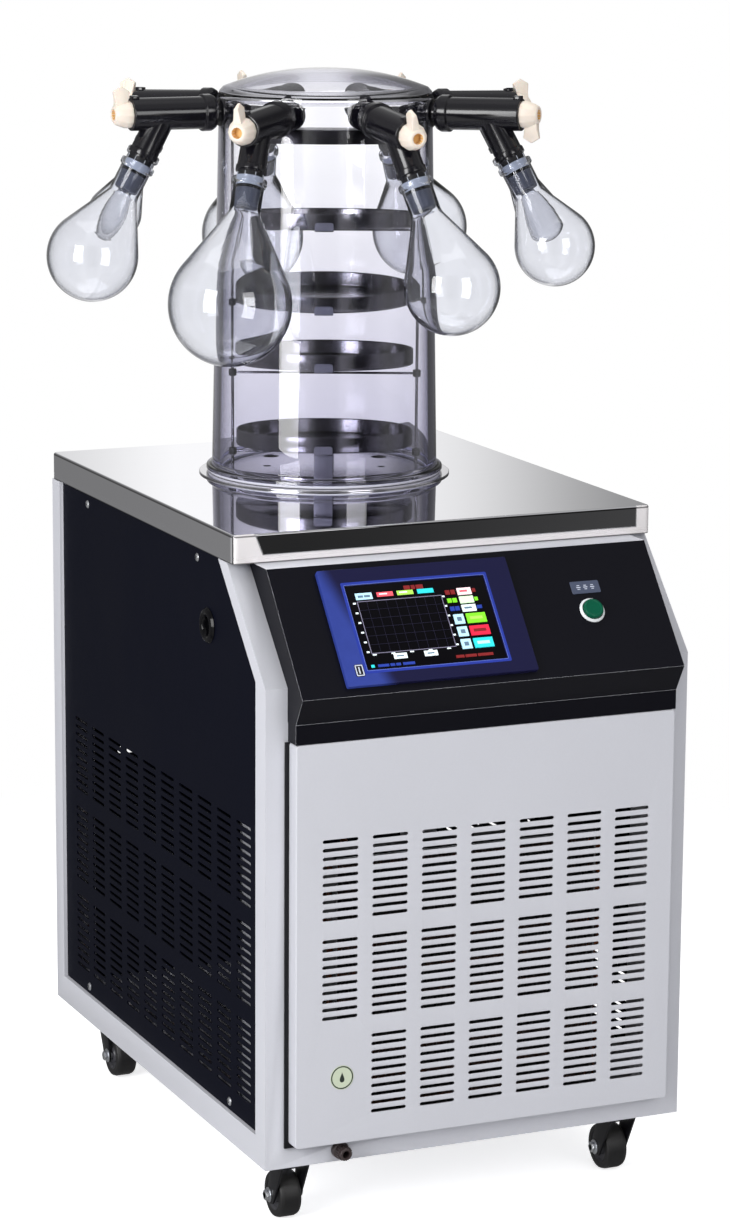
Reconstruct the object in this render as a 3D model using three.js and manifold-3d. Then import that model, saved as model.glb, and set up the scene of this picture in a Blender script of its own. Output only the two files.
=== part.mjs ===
// Bench-side freeze dryer: a cabinet on casters with a cold trap, a clear drying drum with
// four trays, and eight manifold valves that each carry a pear-shaped flask.
// Millimetres, +Z up, front of the cabinet towards -Y.
import * as THREE from 'three';
import { mergeGeometries, mergeVertices } from 'three/addons/utils/BufferGeometryUtils.js';
import Module from 'manifold-3d';

const wasm = await Module();
wasm.setup();

// ---- Driving dimensions -------------------------------------------------------------------

const seat = 0.3;              // gap that pieces keep where they touch

// Cabinet: welded frame, steel top, sheet panels.
const topWidth = 480;
const topDepth = 560;
const topHeight = 729;         // upper face of the steel top above the floor
const topRim = 30.4;
const topSheet = 1.5;
const topCornerRadius = 7;
const topFoldRadius = 2.5;
const noseDepth = 90;          // the frame's front stands this far ahead of the top
const frameBottom = 78.3;
const kneeRise = 5;            // the frame's knee stands this far above the console's nose
const slopeTopInset = 15;
const sideThickness = 24;
const sillHeight = 30.7;
const rearPost = 25;
const frontPost = 27;
const slopePost = 18;
const panelRecess = 6;         // depth of the pocket that a side panel lies in
const panelLedge = 14;
const panelSheet = 1.5;
const basePanThickness = 3;
const faceSheet = 4;
const faceLedge = 20;
const rearLedge = 16;

// Front panel and its grille.
const doorHalfWidth = 215;
const doorBottom = 105;
const doorDrop = 50.3;         // upper edge of the front panel below the console's nose
const doorDepth = 21;
const doorSheet = 1.5;
const slotLength = 40;
const slotHeight = 8;
const slotPitch = 19.3;
const slotsPerGroup = 5;
const groupPitchX = 55.4;
const groupPitchZ = 105.6;
const doorColumns = 7;
const grilleRows = 3;
const grilleTop = 430.7;       // upper edge of the highest slot

// Side and rear grilles.
const sideColumns = 10;
const sideGrilleRear = 498.7;
const sideSlotsPerGroup = 2;
const sideSlotBar = 9;
const rearColumns = 3;
const rearSlots = 4;
const rearSlotLength = 90;
const rearSlotHeight = 9;
const rearSlotPitch = 22;
const rearGrilleTop = 230;

// Console with touch screen and start button.
const consoleNose = 128;       // lower edge of the sloped face ahead of the top's front edge
const consoleNoseHeight = 582;
const consoleTopDepth = 32;
const consoleChinDepth = 111;
const consoleChinDrop = 29;
const consoleTuck = 20;
const consoleWall = 3;
const bezelWidth = 213;
const bezelHeight = 133;
const bezelThickness = 5;
const bezelCentreX = -58.8;
const bezelLowerEdge = 8.6;    // measured up the slope from the console's nose
const bezelCornerRadius = 3;
const screenWidth = 155.3;
const screenHeight = 96;
const screenOffsetX = -2.5;
const screenLowerEdge = 25.5;
const screenRecess = 2.2;
const screenThickness = 1.3;
const buttonX = 130;
const buttonUpSlope = 73;
const buttonFlangeRadius = 14;
const buttonFlangeHeight = 2.6;
const buttonBoreRadius = 11.4;
const buttonSleeveWall = 1.2;
const buttonSleeveDepth = 15;
const buttonFloor = 1.6;
const buttonProud = 4.6;       // height of the cap above the flange
const buttonTravel = 3;

// Small fittings on the cabinet.
const drainX = -157;
const drainHeight = 91;
const drainRadius = 9.5;
const drainLength = 21;
const drainShankRadius = 7;
const drainBoreRadius = 4;
const grommetY = 79.3;
const grommetDrop = 78.3;      // its centre below the frame's upper edge
const grommetRadius = 19;
const grommetHoleRadius = 15;
const grommetProud = 4;
const inletX = 150;
const inletHeight = 170;
const inletWidth = 48;
const inletTall = 28;
const inletFlange = 8;
const portHeight = 640;
const portPipeRadius = 13;
const portFlangeRadius = 20;
const portFlangeThickness = 4;
const portProud = 46;
const portWall = 1.5;

// Cold trap, drum, rack and trays. Heights are above the steel top.
const drumY = 326;
const trapRadius = 99;
const trapWall = 2;
const trapDepth = 250;
const trapFlangeRadius = 139.6;
const trapFlange = 1.5;
const trapPlateRadius = 107;
const trapPlateThickness = 2;
const trapHoleRadius = 9;
const trapHoleCircle = 88;
const trapSmallHoleRadius = 4;
const trapSmallHoleCircle = 64;
const sealInnerRadius = 116;
const sealOuterRadius = 129.5;
const sealHeight = 3;
const drumFlangeRadius = 131.5;
const drumFlangeHeight = 10.5;
const drumBaseRadius = 125.2;
const drumRimRadius = 117;
const drumRimHeight = 427;
const drumShoulder = 7;
const domeRise = 20;
const drumWall = 8;
const bossRadius = 17;
const bossProud = 4;
const bossInset = 12;          // inner face of a port boss, measured in from the outer wall
const rackTurn = -23.7;        // degrees about the drum's axis
const rackHeadroom = 47;       // rack's lid below the drum's rim
const rackTopRim = 15;
const rackTopRadius = 102;
const rackSheet = 1.5;
const rackRodRadius = 2.5;
const rackRodCircle = 103;
const rackStripWidth = 20;
const rackLipHeight = 8;
const rackRodReach = 4;         // how far a cross rod runs out past the uprights
const trayRadius = 98.5;
const trayHeight = 17.6;
const traySheet = 1.2;
// Bottom of each tray as a share of the rack's height and its tilt in degrees, front up, from
// the lowest to the highest.
const shelfPlaces = [
  { share: 0.0797, tilt: 3.1 },
  { share: 0.3197, tilt: 2.9 },
  { share: 0.5068, tilt: -1.8 },
  { share: 0.7213, tilt: 3.4 },
];

// Manifold valves. Lengths along a valve are measured from the drum's axis.
const portDrop = 25;           // ports below the drum's rim
const valveNutRadius = 17;
const valveNutLength = 8;
const valveNeckRadius = 10;
const valveFlangeRadius = 15.5;
const valveFlangeThickness = 4;
const valveCollarStart = 132;
const valveCollarRadius = 20;
const valveCollarLength = 15;
const valveBarrelRadius = 17.6;
const valveEnd = 228;
const valveLipLength = 6;
const valveLipHeight = 2.4;
const valveBoreRadius = 6.5;
const valveBoreDepth = 24;
const branchStart = 190;
const branchTilt = 28;
const branchRadius = 15.5;
const branchLength = 54;
const branchCollarRadius = 16.6;
const branchCollarLength = 7;
const stopperLength = 36;
const stopperTaper = 1.2;
const flaskStart = 59;         // rim of a flask, along the branch from the barrel's axis

// Knobs that turn the valves.
const knobRadius = 15;
const knobShoulder = 8;
const knobLength = 27;
const knobTipRadius = 8.6;
const knobBoreRadius = 5.8;
const knobBoreDepth = 14;
const knobWingReach = 30;
const knobWingWidth = 17;
const knobWingRoot = 14;
const knobWingTip = 4;
const knobWingRoof = 6;

// Pear-shaped flasks with one neck size and a bulb radius of their own.
const flaskNeckRadius = 16.5;
const flaskBeadRadius = 19;
const flaskBeadHeight = 7;
const flaskNeckLength = 38;
const flaskWall = 2;

// One station for each port: azimuth from the front, sag and twist of the valve in its port,
// radius of the flask's bulb, distance from the flask's rim to the bulb's centre, and
// whether the knob's wing points down.
const stations = [
  { name: 'front', azimuth: 0, sag: 5.8, twist: 13, bulb: 51, reach: 119 },
  { name: 'front_right', azimuth: 45, sag: -1, twist: 0, bulb: 43.5, reach: 100, wingDown: true },
  { name: 'right', azimuth: 90, sag: 1, twist: -10, bulb: 28, reach: 84 },
  { name: 'rear_right', azimuth: 135, sag: 2, twist: -6, bulb: 52, reach: 110 },
  { name: 'rear', azimuth: 180, sag: 1, twist: -8, bulb: 60, reach: 132 },
  { name: 'rear_left', azimuth: 225, sag: 1.5, twist: 5, bulb: 30.5, reach: 78 },
  { name: 'left', azimuth: 270, sag: 0, twist: -2, bulb: 51.5, reach: 116 },
  { name: 'front_left', azimuth: 315, sag: 3.5, twist: 1, bulb: 65, reach: 138 },
];

// Casters.
const wheelRadius = 25;
const wheelWidth = 24;
const wheelShoulder = 4;
const axleRadius = 4;
const axleClearance = 0.5;
const casterX = 192;
const casterFrontY = -42;
const casterRearY = 497;
const casterTrail = 20;
const casterPlateSize = 50;
const casterPlateThickness = 3;
const casterHeadRadius = 19;
const casterHeadHeight = 9;
const forkLeg = 2.5;
const forkLegGap = 1.5;
const forkTopWidth = 30;
const forkFootRadius = 9;
const axleNutRadius = 6;
const axleNutLength = 5;

// Refrigeration inside the cabinet.
const compressorRadius = 78;
const compressorHeight = 190;
const compressorX = 95;
const compressorY = 330;
const compressorFoot = 14;
const condenserWidth = 300;
const condenserDepth = 44;
const condenserHeight = 290;
const condenserY = -62;
const condenserFins = 9;
const condenserFinDepth = 14;
const condenserFoot = 24;
const fanRadius = 112;
const fanTipGap = 5;
const fanRingDepth = 22;
const fanPlate = 2;
const fanBlades = 5;
const fanHubRadius = 24;
const fanHubLength = 20;
const fanBladeThickness = 2.4;
const fanBladePitch = 28;
const fanMotorRadius = 30;
const fanMotorLength = 46;
const fanShaftRadius = 4;
const fanArmWidth = 10;

// Faces around a turned piece.
const fineSides = 24;
const panSides = 16;
const sides = 10;
const smallSides = 6;
const bossSides = 8;
const stemSides = 8;
const wheelSides = 14;
const buttonSides = 16;

// ---- Shapes and joins ---------------------------------------------------------------------

const radians = THREE.MathUtils.degToRad;

function signedVolume(position, index) {
  const a = new THREE.Vector3();
  const b = new THREE.Vector3();
  const c = new THREE.Vector3();
  let total = 0;
  for (let i = 0; i < index.length; i += 3) {
    a.fromBufferAttribute(position, index[i]);
    b.fromBufferAttribute(position, index[i + 1]);
    c.fromBufferAttribute(position, index[i + 2]);
    total += a.dot(b.cross(c));
  }
  return total;
}

// A closed three.js geometry as a solid with its faces pointing out.
function solid(geometry) {
  const bare = geometry.clone();
  bare.deleteAttribute('normal');
  bare.deleteAttribute('uv');
  const merged = mergeVertices(bare, 1e-4);
  const source = merged.index.array;
  const kept = [];
  for (let i = 0; i < source.length; i += 3) {
    const [a, b, c] = [source[i], source[i + 1], source[i + 2]];
    if (a !== b && b !== c && c !== a) kept.push(a, b, c);
  }
  const position = merged.getAttribute('position');
  if (signedVolume(position, kept) < 0) kept.reverse();
  return new wasm.Manifold(new wasm.Mesh({
    numProp: 3,
    vertProperties: new Float32Array(position.array),
    triVerts: new Uint32Array(kept),
  }));
}

function geometryOf(body) {
  const mesh = body.getMesh();
  const geometry = new THREE.BufferGeometry();
  geometry.setAttribute('position', new THREE.BufferAttribute(new Float32Array(mesh.vertProperties), 3));
  geometry.setIndex(new THREE.BufferAttribute(new Uint32Array(mesh.triVerts), 1));
  geometry.computeVertexNormals();
  return geometry;
}

const join = (...shapes) => geometryOf(shapes.map(solid).reduce((a, b) => a.add(b)));
const cut = (base, ...tools) => geometryOf(tools.map(solid).reduce((a, b) => a.subtract(b), solid(base)));
const overlapOf = (a, b) => geometryOf(solid(a).intersect(solid(b)));

function block(x0, x1, y0, y1, z0, z1) {
  const box = new THREE.BoxGeometry(x1 - x0, y1 - y0, z1 - z0);
  return box.translate((x0 + x1) / 2, (y0 + y1) / 2, (z0 + z1) / 2);
}

// Many separate boxes as one cutting tool.
const blocks = (list) => mergeGeometries(list.map((sizes) => block(...sizes)));

// A revolve about Z of a profile given as [radius, height] points.
function turned(profile, count = sides) {
  const points = profile.map(([r, z]) => new THREE.Vector2(r, z));
  return new THREE.LatheGeometry(points, count).rotateX(Math.PI / 2);
}

function disc(radius, z0, z1, count = sides) {
  return turned([[0, z0], [radius, z0], [radius, z1], [0, z1]], count);
}

function ring(inner, outer, z0, z1, count = sides) {
  return turned([[inner, z0], [outer, z0], [outer, z1], [inner, z1], [inner, z0]], count);
}

// A rod along X, and one along Y.
const rodX = (radius, x0, x1, count = sides) => disc(radius, x0, x1, count).rotateY(Math.PI / 2);
const rodY = (radius, y0, y1, count = sides) => disc(radius, y0, y1, count).rotateX(-Math.PI / 2);

const outlineShape = (points) => new THREE.Shape(points.map(([u, v]) => new THREE.Vector2(u, v)));

// An outline in the Y-Z plane, extruded from x0 to x1.
function slab(points, x0, x1) {
  const shape = new THREE.ExtrudeGeometry(outlineShape(points), { depth: x1 - x0, bevelEnabled: false });
  shape.rotateX(Math.PI / 2).rotateZ(Math.PI / 2);
  return shape.translate(x0, 0, 0);
}

function roundedRectangle(width, height, radius) {
  const shape = new THREE.Shape();
  const [x, y] = [width / 2, height / 2];
  shape.moveTo(radius - x, -y);
  shape.absarc(x - radius, radius - y, radius, -Math.PI / 2, 0);
  shape.absarc(x - radius, y - radius, radius, 0, Math.PI / 2);
  shape.absarc(radius - x, y - radius, radius, Math.PI / 2, Math.PI);
  shape.absarc(radius - x, radius - y, radius, Math.PI, Math.PI * 1.5);
  return shape;
}

// A counter-clockwise outline with each edge moved in by its own distance.
function inset(points, distances) {
  const edges = points.map(([u, v], i) => {
    const [p, q] = points[(i + 1) % points.length];
    const length = Math.hypot(p - u, q - v);
    const normal = [-(q - v) / length, (p - u) / length];
    return { normal, offset: normal[0] * u + normal[1] * v + distances[i] };
  });
  return edges.map((edge, i) => {
    const before = edges[(i + edges.length - 1) % edges.length];
    const [[a, b], [c, d]] = [before.normal, edge.normal];
    const det = a * d - b * c;
    return [
      (before.offset * d - b * edge.offset) / det,
      (a * edge.offset - before.offset * c) / det,
    ];
  });
}

const finish = (color, roughness, metalness) => new THREE.MeshStandardMaterial({ color, roughness, metalness });
const clear = (color, opacity) => new THREE.MeshStandardMaterial({
  color, opacity, roughness: 0.05, metalness: 0, transparent: true,
});

const materials = {
  paint: finish(0xdfe3e8, 0.45, 0),
  blackPaint: finish(0x14151b, 0.4, 0.1),
  console: finish(0x1b1c22, 0.42, 0.05),
  steel: finish(0xc9ccd1, 0.18, 1),
  brushed: finish(0x7d7f86, 0.35, 1),
  acrylic: clear(0xdcdff2, 0.3),
  glass: clear(0xe6ebf2, 0.3),
  valve: finish(0x111115, 0.35, 0),
  knob: finish(0xe9dccb, 0.5, 0),
  rubber: finish(0x17171a, 0.8, 0),
  silicone: finish(0xcfd0da, 0.5, 0),
  bezel: finish(0x1b2370, 0.15, 0.1),
  screen: finish(0x0a0c16, 0.1, 0),
  button: finish(0x0c6b45, 0.35, 0),
  white: finish(0xf2f3f2, 0.4, 0),
  copper: finish(0xb46a3c, 0.35, 1),
  aluminium: finish(0xb9bcc0, 0.4, 1),
  zinc: finish(0xa9abb0, 0.35, 1),
  tyre: finish(0x1c1c1f, 0.75, 0),
};

function piece(name, geometry, material) {
  const mesh = new THREE.Mesh(geometryOf(solid(geometry)), materials[material]);
  mesh.name = name;
  return mesh;
}

function placed(parent, ...children) {
  parent.add(...children);
  return parent;
}

// ---- Cabinet ------------------------------------------------------------------------------

const halfWidth = topWidth / 2;
const innerHalf = halfWidth - sideThickness;
const rimBottom = topHeight - topRim;
const frameTop = rimBottom - seat;
const railTop = topHeight - topSheet - seat;
const casterPlateBottom = frameBottom - casterPlateThickness;
const doorTop = consoleNoseHeight - doorDrop;
const kneeHeight = consoleNoseHeight + kneeRise;
const grommetHeight = frameTop - grommetDrop;
const doorBack = -noseDepth - seat;
const doorFront = doorBack - doorDepth;
const railLap = 2;

// Side view of the frame as [y, z]: bottom, rear, top, slope and front edges in turn.
const sideOutline = [
  [-noseDepth, frameBottom],
  [topDepth, frameBottom],
  [topDepth, frameTop],
  [slopeTopInset, frameTop],
  [-noseDepth, kneeHeight],
];
const pocketOutline = inset(sideOutline, [sillHeight, rearPost, 0, slopePost, frontPost]);
const windowOutline = inset(pocketOutline, Array(pocketOutline.length).fill(panelLedge));
const panelOutline = inset(pocketOutline, Array(pocketOutline.length).fill(seat));

function sideFrame(side) {
  const outer = side * halfWidth;
  const inner = side * innerHalf;
  const pocket = side * (halfWidth - panelRecess);
  const span = (a, b) => [Math.min(a, b), Math.max(a, b)];
  const past = side * 5;
  return cut(
    slab(sideOutline, ...span(inner, outer)),
    slab(pocketOutline, ...span(pocket, outer + past)),
    slab(windowOutline, ...span(inner - past, outer)),
  );
}

function rectangleRing(x, y0, y1, z0, z1, border) {
  return cut(
    block(-x, x, y0, y1, z0, z1),
    block(-x + border, x - border, y0 - 1, y1 + 1, z0 + border, z1 - border),
  );
}

function casterPlates() {
  const half = casterPlateSize / 2;
  return [-casterX, casterX].flatMap((x) => [casterFrontY, casterRearY].map((y) => (
    block(x - half, x + half, y - half, y + half, casterPlateBottom, frameBottom + 1)
  )));
}

function cabinetFrame() {
  const rail = innerHalf + sideThickness - panelRecess;
  const lap = railLap;
  const side = innerHalf + lap;
  const frontRailStart = topSheet + seat;
  const rearRailEnd = topDepth - topSheet - seat;
  const face = rectangleRing(
    side, -noseDepth, -noseDepth + faceSheet, frameBottom, doorTop + faceLedge, faceLedge + lap,
  );
  const sill = block(-side, side, -noseDepth, -noseDepth + faceSheet, frameBottom, doorBottom + faceLedge);
  const rear = rectangleRing(
    side, topDepth - rearPost, topDepth - panelRecess, frameBottom, frameTop, rearLedge + lap,
  );
  const pan = block(-side, side, -noseDepth, topDepth - panelRecess, frameBottom, frameBottom + basePanThickness);
  const sideRails = [-1, 1].map((s) => block(
    Math.min(s * innerHalf, s * rail), Math.max(s * innerHalf, s * rail),
    slopeTopInset + slopePost, rearRailEnd, frameTop - panelLedge + lap, railTop,
  ));
  const frontRail = block(-rail, rail, frontRailStart, slopeTopInset + slopePost + lap, rimBottom, railTop);
  const rearRail = block(-rail, rail, topDepth - rearPost, rearRailEnd, frameTop - lap, railTop);
  const whole = join(
    sideFrame(-1), sideFrame(1), face, sill, rear, pan, ...sideRails, frontRail, rearRail, ...casterPlates(),
  );
  const drainHole = rodY(drainShankRadius + seat * 2, -noseDepth - 1, -noseDepth + faceSheet + 1)
    .translate(drainX, 0, drainHeight);
  return cut(whole, drainHole);
}

function topPlate() {
  const shape = roundedRectangle(topWidth, topDepth, topCornerRadius);
  const sheet = new THREE.ExtrudeGeometry(shape, {
    depth: topRim, curveSegments: 2,
    bevelEnabled: true, bevelSegments: 1,
    bevelThickness: topFoldRadius, bevelSize: topFoldRadius, bevelOffset: -topFoldRadius,
  }).translate(0, topDepth / 2, topHeight - topRim - topFoldRadius);
  const inside = new THREE.ExtrudeGeometry(
    roundedRectangle(topWidth - 2 * topSheet, topDepth - 2 * topSheet, topCornerRadius - topSheet),
    { depth: topRim + topFoldRadius, curveSegments: 2, bevelEnabled: false },
  ).translate(0, topDepth / 2, topHeight - topSheet - topRim - topFoldRadius);
  const below = block(-topWidth, topWidth, -10, topDepth + 10, rimBottom - 20, rimBottom);
  const mouth = disc(trapRadius + trapWall + seat, topHeight - 5, topHeight + 5, fineSides)
    .translate(0, drumY, 0);
  return cut(sheet, inside, below, mouth);
}

// Slot boxes of one grille: columns along u, rows of groups down z, each group a ladder.
function slotSpans(columns, firstU, length, count, height, pitch) {
  const spans = [];
  for (let column = 0; column < columns; column += 1) {
    for (let row = 0; row < grilleRows; row += 1) {
      for (let i = 0; i < count; i += 1) {
        const u = firstU + column * groupPitchX;
        const top = grilleTop - row * groupPitchZ - i * pitch;
        spans.push({ column, row, u0: u, u1: u + length, z0: top - height, z1: top });
      }
    }
  }
  return spans;
}

function frontPanel() {
  const pan = cut(
    block(-doorHalfWidth, doorHalfWidth, doorFront, doorBack, doorBottom, doorTop),
    block(
      -doorHalfWidth + doorSheet, doorHalfWidth - doorSheet, doorFront + doorSheet, doorBack + 1,
      doorBottom + doorSheet, doorTop - doorSheet,
    ),
  );
  const firstX = -((doorColumns - 1) * groupPitchX + slotLength) / 2;
  const labelRow = grilleRows - 1;
  const slots = slotSpans(doorColumns, firstX, slotLength, slotsPerGroup, slotHeight, slotPitch)
    .filter(({ column, row }) => column > 0 || row < labelRow)
    .map(({ u0, u1, z0, z1 }) => [u0, u1, doorFront - 1, doorFront + doorSheet + 1, z0, z1]);
  return cut(pan, blocks(slots));
}

function sidePanel(side) {
  const inner = halfWidth - panelRecess + seat;
  const [x0, x1] = side < 0 ? [-inner - panelSheet, -inner] : [inner, inner + panelSheet];
  const groupHeight = (slotsPerGroup - 1) * slotPitch + slotHeight;
  const height = (groupHeight - (sideSlotsPerGroup - 1) * sideSlotBar) / sideSlotsPerGroup;
  const firstY = sideGrilleRear - slotLength - (sideColumns - 1) * groupPitchX;
  const slots = slotSpans(
    sideColumns, firstY, slotLength, sideSlotsPerGroup, height, height + sideSlotBar,
  ).map(({ u0, u1, z0, z1 }) => [x0 - 1, x1 + 1, u0, u1, z0, z1]);
  const panel = cut(slab(panelOutline, x0, x1), blocks(slots));
  if (side > 0) return panel;
  return cut(panel, rodX(grommetHoleRadius, x0 - 1, x1 + 1).translate(0, grommetY, grommetHeight));
}

function sideGrommet() {
  const face = -(halfWidth - panelRecess + seat) - panelSheet - seat;
  const shank = grommetHoleRadius * Math.cos(Math.PI / sides) - seat;
  const lip = grommetRadius;
  return turned([
    [0, -grommetProud], [lip - 4, -grommetProud], [lip, 0],
    [shank, 0], [shank, panelSheet + seat * 2], [0, panelSheet + seat * 2],
  ], 12).rotateY(Math.PI / 2).translate(face, grommetY, grommetHeight);
}

const rearPanelX = innerHalf - seat;
const rearPanelY = topDepth - panelRecess + seat;

function rearPanel() {
  const slots = [];
  const pitch = rearSlotLength + 30;
  for (let column = 0; column < rearColumns; column += 1) {
    const x = (column - (rearColumns - 1) / 2) * pitch;
    for (let i = 0; i < rearSlots; i += 1) {
      const top = rearGrilleTop + groupPitchZ * 2 - i * rearSlotPitch;
      slots.push([
        x - rearSlotLength / 2, x + rearSlotLength / 2,
        rearPanelY - 1, rearPanelY + panelSheet + 1, top - rearSlotHeight, top,
      ]);
    }
  }
  const inletCut = block(
    inletX - inletWidth / 2, inletX + inletWidth / 2, rearPanelY - 1, rearPanelY + panelSheet + 1,
    inletHeight - inletTall / 2, inletHeight + inletTall / 2,
  );
  const portCut = rodY(portPipeRadius + seat * 2, rearPanelY - 1, rearPanelY + panelSheet + 1)
    .translate(0, 0, portHeight);
  const sheet = block(
    -rearPanelX, rearPanelX, rearPanelY, rearPanelY + panelSheet,
    frameBottom + seat, frameTop - railLap - seat,
  );
  return cut(sheet, blocks(slots), inletCut, portCut);
}

function drainOutlet() {
  const back = faceSheet + seat;
  return turned([
    [drainBoreRadius, -drainLength], [drainRadius - 1.5, -drainLength],
    [drainRadius, -drainLength * 0.35], [drainRadius + 2, -drainLength * 0.3], [drainRadius + 2, 0],
    [drainShankRadius, 0], [drainShankRadius, back], [drainBoreRadius, back], [drainBoreRadius, -drainLength],
  ]).rotateX(-Math.PI / 2).translate(drainX, doorBack, drainHeight);
}

// Three-pin inlet: flanged block with a socket well and its pins in the rear panel's cut-out.
function powerInlet() {
  const face = rearPanelY + panelSheet + seat;
  const w = inletWidth / 2;
  const h = inletTall / 2;
  const body = join(
    block(-w - inletFlange, w + inletFlange, face, face + 3, -h - 3, h + 3),
    block(-w + seat, w - seat, face - 22, face + 1, -h + seat, h - seat),
  );
  const well = block(-w + 11, w - 11, face - 16, face + 4, -h + 5, h - 5);
  const pins = [[-7, -2], [0, 3], [7, -2]].map(([x, z]) => block(
    x - 1, x + 1, face - 17, face - 4, z - 2.5, z + 2.5,
  ));
  return join(cut(body, well), ...pins).translate(inletX, 0, inletHeight);
}

// Vacuum line from the trap's wall to a flanged stub behind the cabinet.
function vacuumPort() {
  const end = rearPanelY + panelSheet + portProud;
  const start = drumY + trapRadius + trapWall + seat;
  const bore = portPipeRadius - portWall;
  const nut = rearPanelY + panelSheet + seat;
  return turned([
    [bore, start], [portPipeRadius, start], [portPipeRadius, nut], [portPipeRadius + 5, nut],
    [portPipeRadius, nut + 6], [portPipeRadius, end - portFlangeThickness - 3],
    [portFlangeRadius, end - portFlangeThickness], [portFlangeRadius, end], [bore, end], [bore, start],
  ]).rotateX(-Math.PI / 2).translate(0, 0, portHeight);
}

// ---- Console ------------------------------------------------------------------------------

// Side view of the console as [y, z], counter-clockwise: top, slope, chin, lip and open back.
const consoleFoot = doorTop + faceLedge + seat;
const consoleLipHeight = doorTop + seat * 2;
const consoleChinHeight = consoleNoseHeight - consoleChinDrop;
const consoleOutline = [
  [consoleTuck, rimBottom - seat],
  [-consoleTopDepth, rimBottom - seat],
  [-consoleNose, consoleNoseHeight],
  [-consoleChinDepth, consoleChinHeight],
  [-consoleChinDepth, consoleLipHeight],
  [doorBack, consoleLipHeight],
  [doorBack, consoleFoot],
  [doorBack + faceSheet * 2, consoleFoot],
  [consoleTuck, rimBottom - consoleTuck],
];
const slopeRise = rimBottom - seat - consoleNoseHeight;
const slopeRun = consoleNose - consoleTopDepth;
const slopeAngle = Math.atan2(slopeRise, slopeRun);

function consoleFrame() {
  const group = new THREE.Group();
  group.position.set(0, -consoleNose, consoleNoseHeight);
  group.rotation.x = slopeAngle;
  return group;
}

function consoleHousing() {
  const w = consoleWall;
  const hollow = inset(consoleOutline, [w, w, w, w, w, w, w, -w, -w]);
  const half = innerHalf - seat;
  const shell = cut(
    slab(consoleOutline, -half, half),
    slab(hollow, -half + w, half - w),
  );
  const hole = disc(buttonBoreRadius + buttonSleeveWall + seat * 2, -w * 2, w, buttonSides)
    .translate(buttonX, buttonUpSlope, 0);
  hole.applyMatrix4(new THREE.Matrix4().makeRotationX(slopeAngle));
  return cut(shell, hole.translate(0, -consoleNose, consoleNoseHeight));
}

function displayBezel() {
  const shape = roundedRectangle(bezelWidth, bezelHeight, bezelCornerRadius);
  const edge = 1.5;
  const plate = new THREE.ExtrudeGeometry(shape, {
    depth: bezelThickness - 2 * edge, curveSegments: 2,
    bevelEnabled: true, bevelSegments: 1, bevelThickness: edge, bevelSize: edge, bevelOffset: -edge,
  }).translate(bezelCentreX, bezelLowerEdge + bezelHeight / 2, seat + edge);
  const x = bezelCentreX + screenOffsetX;
  const pocket = block(
    x - screenWidth / 2, x + screenWidth / 2, screenLowerEdge, screenLowerEdge + screenHeight,
    seat + bezelThickness - screenRecess, seat + bezelThickness + 1,
  );
  return cut(plate, pocket);
}

function displayScreen() {
  const x = bezelCentreX + screenOffsetX;
  const floor = seat + bezelThickness - screenRecess + seat;
  return block(
    x - screenWidth / 2 + seat, x + screenWidth / 2 - seat,
    screenLowerEdge + seat, screenLowerEdge + screenHeight - seat, floor, floor + screenThickness,
  );
}

function buttonBezel() {
  const sleeve = buttonBoreRadius + buttonSleeveWall;
  const top = seat + buttonFlangeHeight;
  const base = -buttonSleeveDepth;
  return turned([
    [0, base], [sleeve, base], [sleeve, seat], [buttonFlangeRadius, seat],
    [buttonFlangeRadius - 0.8, top], [buttonBoreRadius, top],
    [buttonBoreRadius, base + buttonFloor], [0, base + buttonFloor],
  ], buttonSides).translate(buttonX, buttonUpSlope, 0);
}

function startButton() {
  const radius = buttonBoreRadius * Math.cos(Math.PI / buttonSides) - seat;
  const top = seat + buttonFlangeHeight + buttonProud;
  const base = -buttonSleeveDepth + buttonFloor + buttonTravel + seat;
  return turned([
    [0, base], [radius, base], [radius, top - 1.2], [radius - 1.2, top], [0, top],
  ], buttonSides).translate(buttonX, buttonUpSlope, 0);
}

// ---- Cold trap, drum, rack and trays ------------------------------------------------------

const trapFlangeBase = topHeight + seat;
const trapFlangeTop = trapFlangeBase + trapFlange;
const sealBase = trapFlangeTop + seat;
const trapPlateTop = sealBase + trapPlateThickness;
const drumBase = sealBase + sealHeight + seat;
const drumRimZ = topHeight + drumRimHeight;
const rackTopHeight = drumRimHeight - rackHeadroom;
const valveHeight = drumRimHeight - portDrop;
const shelves = shelfPlaces.map(({ share, tilt }) => ({ bottom: rackTopHeight * share, tilt }));

function coldTrap() {
  const outer = trapRadius + trapWall;
  const floor = trapFlangeBase - trapDepth;
  return turned([
    [0, floor], [outer - 12, floor], [outer, floor + 12], [outer, trapFlangeBase],
    [trapFlangeRadius, trapFlangeBase], [trapFlangeRadius, trapFlangeTop], [trapRadius, trapFlangeTop],
    [trapRadius, floor + 12], [trapRadius - 12, floor + trapWall], [0, floor + trapWall],
  ], fineSides);
}

function trapPlate() {
  const holes = [0, 1, 2, 3].flatMap((i) => {
    const angle = radians(rackTurn + 45 + 90 * i);
    const small = angle + radians(45);
    return [
      disc(trapHoleRadius, sealBase - 1, trapPlateTop + 1, 8)
        .translate(trapHoleCircle * Math.cos(angle), trapHoleCircle * Math.sin(angle), 0),
      disc(trapSmallHoleRadius, sealBase - 1, trapPlateTop + 1, smallSides)
        .translate(trapSmallHoleCircle * Math.cos(small), trapSmallHoleCircle * Math.sin(small), 0),
    ];
  });
  return cut(disc(trapPlateRadius, sealBase, trapPlateTop, fineSides), ...holes);
}

// Outer radius of the drum's wall at a height above the steel top.
const drumRadiusAt = (height) => THREE.MathUtils.mapLinear(
  height, drumBase + drumFlangeHeight - topHeight, drumRimHeight - drumShoulder, drumBaseRadius, drumRimRadius,
);
const portRadius = drumRadiusAt(valveHeight);

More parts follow.
